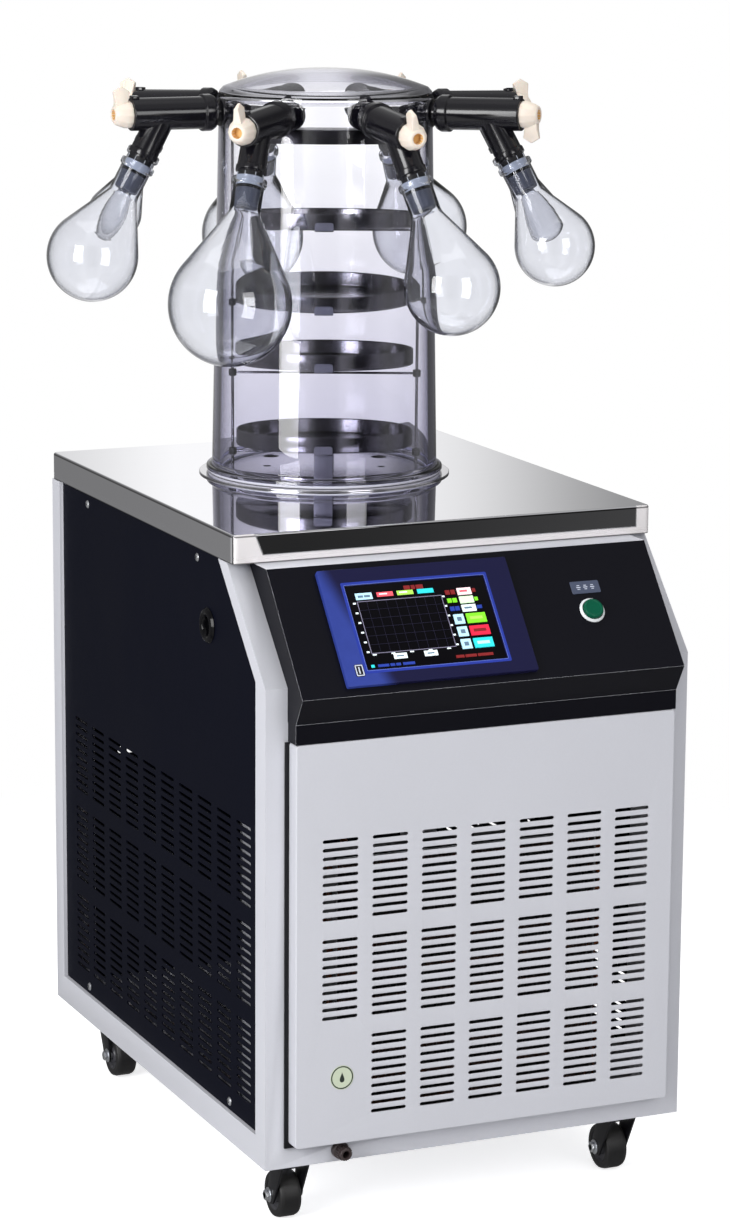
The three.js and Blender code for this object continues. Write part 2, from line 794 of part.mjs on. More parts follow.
// Turns a port's group so that its +X runs out of the drum along the valve.
function stationFrame({ azimuth, sag, twist }) {
  const outward = new THREE.Group();
  outward.position.set(0, drumY, topHeight + valveHeight);
  outward.rotation.z = radians(azimuth - 90);
  const valve = new THREE.Group();
  valve.position.x = portRadius;
  valve.rotation.set(radians(twist), radians(sag), 0, 'YXZ');
  outward.add(valve);
  return { outward, valve };
}

function stationMatrix(station) {
  const { outward, valve } = stationFrame(station);
  outward.updateMatrixWorld(true);
  return valve.matrixWorld.clone().premultiply(new THREE.Matrix4().makeTranslation(0, -drumY, 0));
}

function acrylicDrum() {
  const flangeTop = drumBase + drumFlangeHeight;
  const shoulder = drumRimZ - drumShoulder;
  const dome = (k) => drumRimZ + domeRise * Math.cos(k);
  const [outerBend, innerBend] = [radians(55), radians(50)];
  const inner = drumWall;
  const body = turned([
    [drumFlangeRadius, drumBase], [drumFlangeRadius, drumBase + drumFlangeHeight * 0.4],
    [drumFlangeRadius - 3.5, drumBase + drumFlangeHeight * 0.5], [drumFlangeRadius - 2, flangeTop],
    [drumBaseRadius, flangeTop + 1.5], [drumRimRadius, shoulder],
    [drumRimRadius - drumShoulder * 0.5, drumRimZ],
    [drumRimRadius * Math.sin(outerBend), dome(outerBend)], [0, drumRimZ + domeRise],
    [0, drumRimZ + domeRise - inner], [drumRimRadius * Math.sin(innerBend), dome(innerBend) - inner],
    [drumRimRadius - inner, shoulder], [drumBaseRadius - inner, drumBase],
    [drumFlangeRadius, drumBase],
  ], fineSides);
  const boss = rodX(bossRadius, -bossInset, bossProud, bossSides);
  const hole = rodX(valveNeckRadius / Math.cos(Math.PI / bossSides) + seat, -bossInset - 5, bossProud + 5, bossSides);
  const atStations = (shape) => stations.map((station) => shape.clone().applyMatrix4(stationMatrix(station)));
  return cut(join(body, ...atStations(boss)), ...atStations(hole));
}

// Places a shape built level about the origin at a shelf: tray bottom at z = 0, tilted front up.
const onShelf = (geometry, { bottom, tilt }) => geometry
  .rotateX(radians(-tilt)).translate(0, 0, topHeight + bottom);

function tray() {
  const inner = trayRadius - traySheet;
  return turned([
    [0, 0], [trayRadius, 0], [trayRadius, trayHeight], [inner, trayHeight],
    [inner, traySheet], [0, traySheet],
  ], panSides);
}

function shelfRack() {
  const rodTop = topHeight + rackTopHeight;
  const stand = trapPlateTop + seat;
  const rim = rackTopRadius;
  const lid = turned([
    [0, rodTop - rackSheet], [rim - rackSheet, rodTop - rackSheet], [rim - rackSheet, rodTop - rackTopRim],
    [rim, rodTop - rackTopRim], [rim, rodTop], [0, rodTop],
  ], panSides);
  const uprights = [-rackRodCircle, rackRodCircle].map((x) => (
    disc(rackRodRadius, stand, rodTop - 1, smallSides).translate(x, 0, 0)
  ));
  const half = rackStripWidth / 2;
  const lip = trayRadius + seat + 0.2;
  const shelfPieces = shelves.flatMap((shelf) => {
    const strip = block(-half, half, -lip - rackSheet, lip + rackSheet, -seat - rackSheet, -seat);
    const lips = [-1, 1].map((s) => {
      const [a, b] = [s * lip, s * (lip + rackSheet)];
      return block(-half, half, Math.min(a, b), Math.max(a, b), -seat - rackSheet, rackLipHeight);
    });
    const rod = rodX(rackRodRadius, -rackRodCircle - rackRodReach, rackRodCircle + rackRodReach, smallSides)
      .translate(0, 0, -seat - rackSheet - rackRodRadius + 0.6);
    return [onShelf(join(strip, ...lips, rod), shelf)];
  });
  const [lowest] = shelves;
  const footTop = topHeight + lowest.bottom - seat - rackSheet / 2;
  const drop = (trayRadius - 4) * Math.tan(radians(lowest.tilt));
  const feet = [[-1, drop], [1, -drop]].map(([s, lift]) => block(
    -half, half, s * (trayRadius - 4) - rackSheet / 2, s * (trayRadius - 4) + rackSheet / 2,
    stand, footTop + lift,
  ));
  return join(lid, ...uprights, ...shelfPieces, ...feet);
}

// ---- Valves, knobs and flasks -------------------------------------------------------------

// Along a valve x = 0 is the drum's outer wall at the port.
const along = (radius) => radius - portRadius;
const boreOf = flaskNeckRadius - flaskWall;
const stopperRadius = boreOf - seat;

function branchMatrix() {
  return new THREE.Matrix4().makeTranslation(along(branchStart), 0, 0)
    .multiply(new THREE.Matrix4().makeRotationY(radians(180 - branchTilt)));
}

function valveBody() {
  const nut = -bossInset - seat;
  const flange = bossProud + seat;
  const collar = along(valveCollarStart);
  const collarEnd = collar + valveCollarLength;
  const end = along(valveEnd);
  const barrel = turned([
    [0, nut - valveNutLength], [valveNutRadius, nut - valveNutLength], [valveNutRadius, nut],
    [valveNeckRadius, nut], [valveNeckRadius, flange],
    [valveFlangeRadius, flange], [valveFlangeRadius, flange + valveFlangeThickness],
    [valveNeckRadius, flange + valveFlangeThickness], [valveNeckRadius, collar],
    [valveCollarRadius, collar], [valveCollarRadius, collarEnd], [valveBarrelRadius, collarEnd],
    [valveBarrelRadius, end], [0, end],
  ]).rotateY(Math.PI / 2);
  const lip = block(
    end - valveLipLength, end - 0.5, -5, 5, valveBarrelRadius - 4, valveBarrelRadius + valveLipHeight,
  );
  const stop = flaskStart + stopperLength;
  const branch = turned([
    [0, 0], [branchRadius, 0], [branchRadius, branchLength - branchCollarLength],
    [branchCollarRadius, branchLength - branchCollarLength], [branchCollarRadius, branchLength],
    [stopperRadius, branchLength], [stopperRadius - stopperTaper, stop], [0, stop],
  ]).applyMatrix4(branchMatrix());
  const stemBore = rodX(valveBoreRadius, end - valveBoreDepth, end + 1, stemSides);
  return join(cut(join(barrel, branch), stemBore), lip);
}

// The knob's plug runs in the barrel's bore, and its wing points along +Z.
function knob() {
  const face = along(valveEnd) + seat;
  const tip = face + knobLength;
  const plug = valveBoreRadius * Math.cos(Math.PI / stemSides) - seat;
  const stem = rodX(plug, face - valveBoreDepth + seat * 2, face + 2, stemSides);
  const hub = turned([
    [0, face], [knobRadius, face], [knobRadius, face + knobShoulder], [knobTipRadius, tip],
    [knobBoreRadius, tip], [knobBoreRadius, tip - knobBoreDepth], [0, tip - knobBoreDepth],
  ]).rotateY(Math.PI / 2);
  const x0 = face + 2;
  const x1 = x0 + knobWingWidth;
  const low = knobBoreRadius + 2;
  const sideView = new THREE.ExtrudeGeometry(outlineShape([
    [x0, low], [x1, low], [x1 - 1.5, knobWingReach - knobWingRoof], [(x0 + x1) / 2, knobWingReach],
    [x0 + 1.5, knobWingReach - knobWingRoof],
  ]), { depth: knobWingRoot, bevelEnabled: false }).translate(0, 0, -knobWingRoot / 2).rotateX(Math.PI / 2);
  const endView = slab([
    [-knobWingRoot / 2, 0], [knobWingRoot / 2, 0], [knobWingTip / 2, knobWingReach + 1],
    [-knobWingTip / 2, knobWingReach + 1],
  ], x0 - 1, x1 + 1);
  return join(hub, stem, overlapOf(sideView, endView));
}

// Half-section of a pear: neck, straight flank tangent to the bulb, and the bulb's arc.
function pearProfile(neckRadius, neckLength, bulbRadius, reach, steps) {
  const rise = reach - neckLength;
  const distance = Math.hypot(neckRadius, rise);
  const start = Math.atan2(neckRadius, rise) + Math.acos(bulbRadius / distance);
  const points = [[neckRadius, neckLength]];
  for (let i = 0; i < steps; i += 1) {
    const angle = THREE.MathUtils.lerp(start, Math.PI, i / steps);
    points.push([bulbRadius * Math.sin(angle), reach - bulbRadius * Math.cos(angle)]);
  }
  points.push([0, reach + bulbRadius]);
  return points;
}

function flask({ bulb, reach }) {
  const outside = pearProfile(flaskNeckRadius, flaskNeckLength, bulb, reach, 3);
  const inside = pearProfile(boreOf, flaskNeckLength + 1, bulb - flaskWall, reach, 2);
  return turned([
    [boreOf, 0], [flaskBeadRadius, 0], [flaskBeadRadius, flaskBeadHeight - 1],
    [flaskNeckRadius, flaskBeadHeight + 1], ...outside, ...inside.reverse(), [boreOf, 0],
  ]).translate(0, 0, flaskStart).applyMatrix4(branchMatrix());
}

// ---- Casters ------------------------------------------------------------------------------

// Fork about its swivel axis, with the axle's centre a trail behind it along +Y.
function casterFork() {
  const headTop = casterPlateBottom - seat;
  const headBase = headTop - casterHeadHeight;
  const inner = wheelWidth / 2 + forkLegGap;
  const outer = inner + forkLeg;
  const head = turned([
    [0, headBase], [casterHeadRadius - 3, headBase], [casterHeadRadius, headTop], [0, headTop],
  ]);
  const crown = block(-outer, outer, -forkTopWidth / 2, forkTopWidth / 2, headBase - 3, headBase + 2);
  const legOutline = [
    [-forkTopWidth / 2, headBase], [casterTrail - forkFootRadius, wheelRadius - forkFootRadius],
    [casterTrail + forkFootRadius, wheelRadius - forkFootRadius], [forkTopWidth / 2, headBase],
  ];
  const legs = [slab(legOutline, -outer, -inner), slab(legOutline, inner, outer)];
  const nut = outer + axleNutLength;
  const axle = join(
    rodX(axleRadius, -outer, outer, smallSides + 2),
    rodX(axleNutRadius, -nut, -outer + 1, smallSides), rodX(axleNutRadius, outer - 1, nut, smallSides),
  ).translate(0, casterTrail, wheelRadius);
  return join(head, crown, ...legs, axle);
}

function casterWheel() {
  const half = wheelWidth / 2;
  const bore = axleRadius + axleClearance;
  const tread = wheelRadius - 1.8;
  return turned([
    [bore, -half], [tread, -half], [wheelRadius, -half + wheelShoulder],
    [wheelRadius, half - wheelShoulder], [tread, half], [bore, half], [bore, -half],
  ], wheelSides).rotateY(Math.PI / 2).rotateX(Math.PI / wheelSides);
}

// ---- Refrigeration inside -----------------------------------------------------------------

const panTop = frameBottom + basePanThickness;

function compressor() {
  const base = panTop + seat;
  const r = compressorRadius;
  const shell = turned([
    [0, base + compressorFoot], [r - 12, base + compressorFoot], [r, base + compressorFoot + 12],
    [r, base + compressorHeight - 30], [r * 0.72, base + compressorHeight - 8], [0, base + compressorHeight],
  ], 12);
  const foot = r * 0.82;
  const plate = block(-foot, foot, -foot, foot, base + compressorFoot - 3, base + compressorFoot + 3);
  const feet = [-1, 1].flatMap((sx) => [-1, 1].map((sy) => (
    disc(9, base, base + compressorFoot, smallSides).translate(sx * (foot - 12), sy * (foot - 12), 0)
  )));
  return join(shell, plate, ...feet).translate(compressorX, compressorY, 0);
}

// Finned block with its copper return bends standing out of the end plates.
function condenser() {
  const base = panTop + seat;
  const half = condenserWidth / 2;
  const low = base + condenserFoot;
  const top = low + condenserHeight;
  const core = block(-half, half, 0, condenserDepth, low, top);
  const pitch = (condenserWidth - 12) / condenserFins;
  const grooves = [];
  for (let i = 0; i < condenserFins; i += 1) {
    const x = -half + 6 + pitch * (i + 0.5);
    grooves.push([x - pitch * 0.36, x + pitch * 0.36, -1, condenserFinDepth, low + 4, top - 4]);
  }
  const feet = [-1, 1].map((s) => block(
    s * (half - 15) - 15, s * (half - 15) + 15, 4, condenserDepth, base, low + 2,
  ));
  const bends = [];
  const rows = 5;
  for (let i = 0; i < rows; i += 1) {
    const z = low + condenserHeight * ((i + 0.5) / rows);
    bends.push(rodX(6, half - 4, half + 16, smallSides).translate(0, condenserDepth / 2, z));
  }
  return join(cut(core, blocks(grooves)), ...feet, ...bends).translate(0, condenserY, 0);
}

const fanHeight = panTop + seat + condenserFoot + condenserHeight / 2;
const shroudY = condenserY + condenserDepth + seat;

// The shroud's group has its origin on the fan's axis, with +Z along the air's path.
function fanShroud() {
  const w = condenserWidth / 2;
  const h = condenserHeight / 2;
  const inner = fanRadius + fanTipGap;
  const plate = cut(block(-w, w, -h, h, 0, fanPlate), disc(inner, -1, fanPlate + 1, panSides));
  const duct = ring(inner, inner + fanPlate, 0, fanRingDepth, panSides);
  const back = fanRingDepth;
  const arms = [0, 1, 2].map((i) => block(
    fanMotorRadius - 5, inner + 1.5, -fanArmWidth / 2, fanArmWidth / 2, back - 4, back + 2,
  ).rotateZ(radians(90 + 120 * i)));
  const motor = disc(fanMotorRadius, back - 4, back - 4 + fanMotorLength);
  const shaft = disc(fanShaftRadius, fanHubLength * -0.1 + 2, back, sides);
  return join(plate, duct, ...arms, motor, shaft);
}

function fanRotor() {
  const top = fanRingDepth - 4 - 1.5;
  const base = top - fanHubLength + 6;
  const bore = fanShaftRadius + axleClearance;
  const hub = ring(bore, fanHubRadius, base, top);
  const blades = [];
  for (let i = 0; i < fanBlades; i += 1) {
    const chord = 46;
    const shape = outlineShape([
      [fanHubRadius - 3, -chord * 0.25], [fanRadius - 12, -chord * 0.5], [fanRadius - 4, 0],
      [fanRadius - 12, chord * 0.5], [fanHubRadius - 3, chord * 0.25],
    ]);
    const blade = new THREE.ExtrudeGeometry(shape, { depth: fanBladeThickness, bevelEnabled: false })
      .translate(0, 0, -fanBladeThickness / 2).rotateX(radians(fanBladePitch * 0.5))
      .translate(0, 0, (top + base) / 2);
    blades.push(blade.rotateZ(radians((360 / fanBlades) * i)));
  }
  return join(hub, ...blades);
}

// ---- Assembly -----------------------------------------------------------------------------

const cabinet = placed(
  new THREE.Group(),
  piece('cabinet_frame', cabinetFrame(), 'paint'),
  piece('top_plate', topPlate(), 'steel'),
  piece('front_panel', frontPanel(), 'paint'),
  piece('left_side_panel', sidePanel(-1), 'blackPaint'),
  piece('right_side_panel', sidePanel(1), 'blackPaint'),
  piece('rear_panel', rearPanel(), 'blackPaint'),
  piece('console_housing', consoleHousing(), 'console'),
  piece('drain_outlet', drainOutlet(), 'rubber'),
  piece('side_grommet', sideGrommet(), 'rubber'),
  piece('power_inlet', powerInlet(), 'rubber'),
  piece('vacuum_port', vacuumPort(), 'steel'),
  piece('compressor', compressor(), 'blackPaint'),
  piece('condenser', condenser(), 'aluminium'),
);

const controls = placed(
  consoleFrame(),
  piece('display_bezel', displayBezel(), 'bezel'),
  piece('display_screen', displayScreen(), 'screen'),
  piece('button_bezel', buttonBezel(), 'white'),
  piece('start_button', startButton(), 'button'),
);

const fan = placed(
  new THREE.Group(),
  piece('fan_shroud', fanShroud(), 'blackPaint'),
  piece('fan_rotor', fanRotor(), 'aluminium'),
);
fan.position.set(0, shroudY, fanHeight);
fan.rotation.x = -Math.PI / 2;

const drum = placed(
  new THREE.Group(),
  piece('cold_trap', coldTrap(), 'steel'),
  piece('trap_plate', trapPlate(), 'steel'),
  piece('base_seal', ring(sealInnerRadius, sealOuterRadius, sealBase, sealBase + sealHeight, fineSides), 'silicone'),
  piece('acrylic_drum', acrylicDrum(), 'acrylic'),
);
drum.position.y = drumY;

const rack = placed(new THREE.Group(), piece('shelf_rack', shelfRack(), 'brushed'));
shelves.forEach((shelf, i) => {
  rack.add(piece(`tray_${i + 1}`, onShelf(tray(), shelf), 'brushed'));
});
rack.rotation.z = radians(rackTurn);
drum.add(rack);

const manifold = new THREE.Group();
stations.forEach((station) => {
  const { outward, valve } = stationFrame(station);
  const turnedKnob = piece(`knob_${station.name}`, knob(), 'knob');
  if (station.wingDown) turnedKnob.rotation.x = Math.PI;
  valve.add(
    piece(`valve_body_${station.name}`, valveBody(), 'valve'),
    turnedKnob,
    piece(`flask_${station.name}`, flask(station), 'glass'),
  );
  manifold.add(outward);
});

const casters = new THREE.Group();
const corners = [
  { name: 'front_left', x: -casterX, y: casterFrontY, turn: 0 },
  { name: 'front_right', x: casterX, y: casterFrontY, turn: 0 },
  { name: 'rear_left', x: -casterX, y: casterRearY, turn: Math.PI },
  { name: 'rear_right', x: casterX, y: casterRearY, turn: Math.PI },
];
corners.forEach(({ name, x, y, turn }) => {
  const swivel = new THREE.Group();
  const wheel = piece(`caster_wheel_${name}`, casterWheel(), 'tyre');
  wheel.position.set(0, casterTrail, wheelRadius);
  swivel.add(piece(`caster_fork_${name}`, casterFork(), 'zinc'), wheel);
  swivel.position.set(x, y, 0);
  swivel.rotation.z = turn;
  casters.add(swivel);
});

const freezeDryer = placed(new THREE.Group(), cabinet, controls, fan, drum, manifold, casters);

// The origin is the middle of the whole object's footprint, on the floor.
freezeDryer.updateMatrixWorld(true);
const bounds = new THREE.Box3().setFromObject(freezeDryer, true);
const middle = bounds.getCenter(new THREE.Vector3());
freezeDryer.position.set(-middle.x, -middle.y, -bounds.min.z);

export default freezeDryer;
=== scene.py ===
import bmesh
import bpy
import math
from mathutils import Matrix, Vector


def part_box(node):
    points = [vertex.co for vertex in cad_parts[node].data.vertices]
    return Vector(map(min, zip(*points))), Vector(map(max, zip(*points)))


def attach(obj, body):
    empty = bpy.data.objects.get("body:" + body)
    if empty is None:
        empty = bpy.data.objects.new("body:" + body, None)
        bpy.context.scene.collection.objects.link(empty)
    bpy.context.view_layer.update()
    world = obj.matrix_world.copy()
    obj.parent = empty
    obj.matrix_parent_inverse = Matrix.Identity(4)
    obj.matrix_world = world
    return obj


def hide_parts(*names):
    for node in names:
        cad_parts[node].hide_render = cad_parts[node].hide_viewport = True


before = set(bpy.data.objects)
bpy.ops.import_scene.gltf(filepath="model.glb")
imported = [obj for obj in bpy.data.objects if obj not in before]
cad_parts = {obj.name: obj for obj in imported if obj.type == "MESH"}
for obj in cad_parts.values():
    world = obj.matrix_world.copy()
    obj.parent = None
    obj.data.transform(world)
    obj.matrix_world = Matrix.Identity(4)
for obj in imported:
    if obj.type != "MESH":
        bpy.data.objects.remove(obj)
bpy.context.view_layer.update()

# Shapes are drawn in millimetres, x = 0 on the centre line, y = 0 at the steel top's front edge and
# z = 0 on the floor. The matrix below takes them into the frame's metres.
steel = {
    "width": 480, "depth": 560, "height": 729, "rim": 30.4, "sheet": 1.5, "corner": 7, "fold": 2.5,
    "mouth": 101.3, "hem": 3.4, "groove": 0.45,
}
steelLow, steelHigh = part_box("top_plate")
machine = Matrix.Translation((
    (steelLow.x + steelHigh.x) / 2, steelLow.y, steelHigh.z - steel["height"] / 1000,
)) @ Matrix.Scale(0.001, 4)

drumY = 326  # the drum's axis behind the top's front edge

# A sheet drawn flat stands up facing the front, or facing a side.
facingFront = Matrix.Rotation(math.radians(90), 4, "X")
facingSide = Matrix(((0, 0, 1, 0), (1, 0, 0, 0), (0, 1, 0, 0), (0, 0, 0, 1)))
alongX = Matrix.Rotation(math.radians(90), 4, "Y")
alongY = Matrix.Rotation(math.radians(-90), 4, "X")


def shift(x=0, y=0, z=0):
    return Matrix.Translation((x, y, z))


def turn(degrees, axis):
    return Matrix.Rotation(math.radians(degrees), 4, axis)


def roundCorners(points, closed=True, steps=4):
    # A point may carry a third number: the radius that its corner is rounded to.
    path = []
    last = len(points) - 1
    for index, point in enumerate(points):
        radius = point[2] if len(point) > 2 else 0
        if radius <= 0 or (not closed and index in (0, last)):
            path.append((point[0], point[1]))
            continue
        here = Vector(point[:2])
        back = (Vector(points[index - 1][:2]) - here).normalized()
        ahead = (Vector(points[0 if index == last else index + 1][:2]) - here).normalized()
        half = math.acos(max(-1, min(1, back.dot(ahead)))) / 2
        reach = radius / math.tan(half)
        centre = here + (back + ahead).normalized() * (radius / math.sin(half))
        first = here + back * reach - centre
        second = here + ahead * reach - centre
        sweep = math.atan2(first.x * second.y - first.y * second.x, first.dot(second))
        for step in range(steps + 1):
            angle = sweep * step / steps
            c, s = math.cos(angle), math.sin(angle)
            path.append((centre.x + first.x * c - first.y * s, centre.y + first.x * s + first.y * c))
    return path


def rectangle(width, height, radius=0, centre=(0, 0), steps=4):
    x, y = width / 2, height / 2
    corners = [(-x, -y, radius), (x, -y, radius), (x, y, radius), (-x, y, radius)]
    return [(u + centre[0], v + centre[1]) for u, v in roundCorners(corners, steps=steps)]


def circle(radius, centre=(0, 0), steps=32):
    return [(
        centre[0] + radius * math.cos(math.tau * i / steps),
        centre[1] + radius * math.sin(math.tau * i / steps),
    ) for i in range(steps)]


def insetOutline(points, distances):
    # Each edge of a counter-clockwise outline moves in by its own distance.
    edges = []
    for index, point in enumerate(points):
        start, end = Vector(point), Vector(points[(index + 1) % len(points)])
        along = (end - start).normalized()
        normal = Vector((-along.y, along.x))
        edges.append((normal, normal.dot(start) + distances[index]))
    path = []
    for index, (normal, offset) in enumerate(edges):
        before, beforeOffset = edges[index - 1]
        det = before.x * normal.y - before.y * normal.x
        path.append((
            (beforeOffset * normal.y - before.y * offset) / det,
            (before.x * offset - beforeOffset * normal.x) / det,
        ))
    return path


def addLoop(shape, points, height=0):
    verts = [shape.verts.new((x, y, height)) for x, y in points]
    return verts, [shape.edges.new((a, b)) for a, b in zip(verts, verts[1:] + verts[:1])]


def cleaned(shape):
    bmesh.ops.remove_doubles(shape, verts=shape.verts, dist=0.001)
    bmesh.ops.dissolve_degenerate(shape, dist=0.0005, edges=shape.edges)
    bmesh.ops.recalc_face_normals(shape, faces=shape.faces)
    return shape


def lathe(profile, steps=48, closed=False, soft=0):
    # A profile of (radius, height) points, spun about Z.
    if soft:
        profile = roundCorners(profile, closed, soft)
    shape = bmesh.new()
    verts = [shape.verts.new((max(radius, 0), 0, height)) for radius, height in profile]
    pairs = list(zip(verts, verts[1:])) + ([(verts[-1], verts[0])] if closed else [])
    edges = [shape.edges.new(pair) for pair in pairs]
    bmesh.ops.spin(
        shape, geom=verts + edges, cent=(0, 0, 0), axis=(0, 0, 1), dvec=(0, 0, 0),
        angle=math.tau, steps=steps, use_merge=True, use_duplicate=False,
    )
    return cleaned(shape)


def sheet(outline, holes=()):
    shape = bmesh.new()
    edges = []
    for points in (outline, *holes):
        edges += addLoop(shape, points)[1]
    bmesh.ops.triangle_fill(shape, use_beauty=True, use_dissolve=False, edges=edges, normal=(0, 0, 1))
    for face in shape.faces:
        if face.normal.z < 0:
            face.normal_flip()
    return shape


def thicken(shape, depth):
    # The flat sheet stays as one side, and a copy of it rises to the other.
    raised = bmesh.ops.extrude_face_region(shape, geom=shape.faces[:], use_keep_orig=True)["geom"]
    verts = [item for item in raised if isinstance(item, bmesh.types.BMVert)]
    bmesh.ops.translate(shape, verts=verts, vec=(0, 0, depth))
    bmesh.ops.recalc_face_normals(shape, faces=shape.faces)
    return shape


def prism(outline, depth, holes=()):
    if holes:
        return thicken(sheet(outline, holes), depth)
    shape = bmesh.new()
    bmesh.ops.contextual_create(shape, geom=addLoop(shape, outline)[1])
    return thicken(shape, depth)


def soften(shape, width, segments=2, angle=30):
    limit = math.radians(angle)
    edges = [edge for edge in shape.edges if len(edge.link_faces) == 2 and edge.calc_face_angle() > limit]
    bmesh.ops.bevel(
        shape, geom=edges, offset=width, offset_type="OFFSET", segments=segments, profile=0.5,
        affect="EDGES", material=-1, clamp_overlap=True,
    )
    return shape


def box(x, y, z, bevel=0, segments=2):
    # Each argument is a (low, high) pair.
    shape = bmesh.new()
    bmesh.ops.create_cube(shape, size=1)
    bmesh.ops.scale(shape, vec=(x[1] - x[0], y[1] - y[0], z[1] - z[0]), verts=shape.verts)
    bmesh.ops.translate(shape, vec=(sum(x) / 2, sum(y) / 2, sum(z) / 2), verts=shape.verts)
    return soften(shape, bevel, segments) if bevel else shape


def rod(radius, start, end, steps=24, bevel=0, tip=None):
    # A rod along Z from start to end, with another radius at its tip if one is given.
    shape = bmesh.new()
    bmesh.ops.create_cone(
        shape, cap_ends=True, cap_tris=False, segments=steps,
        radius1=radius, radius2=radius if tip is None else tip, depth=end - start,
    )
    bmesh.ops.translate(shape, vec=(0, 0, (start + end) / 2), verts=shape.verts)
    return soften(shape, bevel, 2, 50) if bevel else shape


def loft(rings, capFirst=True, capLast=True):
    # Rings of 3-D points, all with the same count, bridged one to the next.
    shape = bmesh.new()
    loops = []
    for ring in rings:
        verts = [shape.verts.new(point) for point in ring]
        loops.append([shape.edges.new((a, b)) for a, b in zip(verts, verts[1:] + verts[:1])])
    for first, second in zip(loops, loops[1:]):
        bmesh.ops.bridge_loops(shape, edges=first + second)
    if capFirst:
        bmesh.ops.contextual_create(shape, geom=loops[0])
    if capLast:
        bmesh.ops.contextual_create(shape, geom=loops[-1])
    bmesh.ops.recalc_face_normals(shape, faces=shape.faces)
    return shape


def pipe(points, radius, steps=12, smooth=6):
    # A tube along a smoothed path.
    path = [Vector(point) for point in points]
    fine = []
    for i in range(len(path) - 1):
        p0, p1, p2, p3 = path[max(i - 1, 0)], path[i], path[i + 1], path[min(i + 2, len(path) - 1)]
        for k in range(smooth):
            t = k / smooth
            fine.append(0.5 * (
                2 * p1 + (p2 - p0) * t + (2 * p0 - 5 * p1 + 4 * p2 - p3) * t * t
                + (3 * p1 - p0 - 3 * p2 + p3) * t * t * t
            ))
    fine.append(path[-1])
    rings = []
    side = None
    for i, here in enumerate(fine):
        ahead = (fine[min(i + 1, len(fine) - 1)] - fine[max(i - 1, 0)]).normalized()
        if side is None:
            side = ahead.orthogonal().normalized()
        side = (side - ahead * side.dot(ahead)).normalized()
        up = ahead.cross(side)
        rings.append([
            here + (side * math.cos(math.tau * k / steps) + up * math.sin(math.tau * k / steps)) * radius
            for k in range(steps)
        ])
    return loft(rings)


def moved(shape, matrix):
    bmesh.ops.transform(shape, matrix=matrix, verts=shape.verts)
    return shape


def dyed(shape, index):
    # The faces take the material with this index.
    for face in shape.faces:
        face.material_index = index
    return shape


def copies(shape, matrices, whole=None):
    # One shape repeated at several places.
    carrier = bpy.data.meshes.new("carrier")
    shape.to_mesh(carrier)
    shape.free()
    whole = whole or bmesh.new()
    for matrix in matrices:
        before = len(whole.verts)
        whole.from_mesh(carrier)
        whole.verts.ensure_lookup_table()
        bmesh.ops.transform(whole, matrix=matrix, verts=whole.verts[before:])
    bpy.data.meshes.remove(carrier)
    return whole


def joined(*shapes):
    whole = bmesh.new()
    for shape in shapes:
        copies(shape, [Matrix()], whole)
    return whole


def addPiece(name, shape, finish, body="cabinet", replaces=None, sharp=35, place=machine):
    # The finish is a material's name, or several in the order that the faces are dyed by.
    moved(shape, place)
    mesh = bpy.data.meshes.new(name)
    shape.to_mesh(mesh)
    shape.free()
    for material in [finish] if isinstance(finish, str) else finish:
        mesh.materials.append(bpy.data.materials[material])
    mesh.shade_smooth()
    mesh.set_sharp_from_angle(angle=math.radians(sharp))
    piece = bpy.data.objects.new(name, mesh)
    bpy.context.scene.collection.objects.link(piece)
    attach(piece, body)
    if replaces:
        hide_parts(replaces)
    return piece


def flatten(piece):
    # Large flat faces keep their own normal beside the rounded edges.
    modifier = piece.modifiers.new("flatFaces", "WEIGHTED_NORMAL")
    modifier.keep_sharp = True
    modifier.weight = 100


def softCopy(node, width, segments=3, angle=30, edgeHighlight=0):
    # A copy of a CAD node with its edges rounded, in millimetres like the other shapes.
    shape = bmesh.new()
    shape.from_mesh(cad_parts[node].data)
    moved(shape, machine.inverted())
    bmesh.ops.remove_doubles(shape, verts=shape.verts, dist=0.01)
    bmesh.ops.dissolve_limit(
        shape, angle_limit=math.radians(1), use_dissolve_boundaries=False,
        verts=shape.verts, edges=shape.edges, delimit=set(),
    )
    limit = math.cos(math.radians(8))
    flats = [face.normal.copy() for face in shape.faces]
    soften(shape, width, segments, angle)
    # The rounded edges may take another material, for a painted highlight along them.
    if edgeHighlight:
        for face in shape.faces:
            if max(face.normal.dot(flat) for flat in flats) < limit:
                face.material_index = edgeHighlight
    return shape


def rgb(*colour):
    # An sRGB colour as the linear numbers that the shader sockets take.
    parts = [value / 255 for value in colour]
    return (*(v / 12.92 if v <= 0.04045 else ((v + 0.055) / 1.055) ** 2.4 for v in parts), 1)


def feed(tree, socket, value):
    # A socket takes a link from another socket, or a plain value.
    if isinstance(value, bpy.types.NodeSocket):
        tree.links.new(value, socket)
    elif value is not None:
        socket.default_value = value


def addNode(tree, kind, inputs=(), **settings):
    # The inputs are a dictionary by label, or values in the sockets' order.
    node = tree.nodes.new("ShaderNode" + kind)
    for label, value in settings.items():
        setattr(node, label, value)
    for label, value in inputs.items() if isinstance(inputs, dict) else enumerate(inputs):
        feed(tree, node.inputs[label], value)
    return node


def mathNode(tree, operation, *values):
    return addNode(tree, "Math", values, operation=operation).outputs[0]


def mapValue(tree, value, low, high, toLow=0.0, toHigh=1.0, smooth=False):
    return addNode(tree, "MapRange", {
        "Value": value, "From Min": low, "From Max": high, "To Min": toLow, "To Max": toHigh,
    }, interpolation_type="SMOOTHSTEP" if smooth else "LINEAR").outputs["Result"]


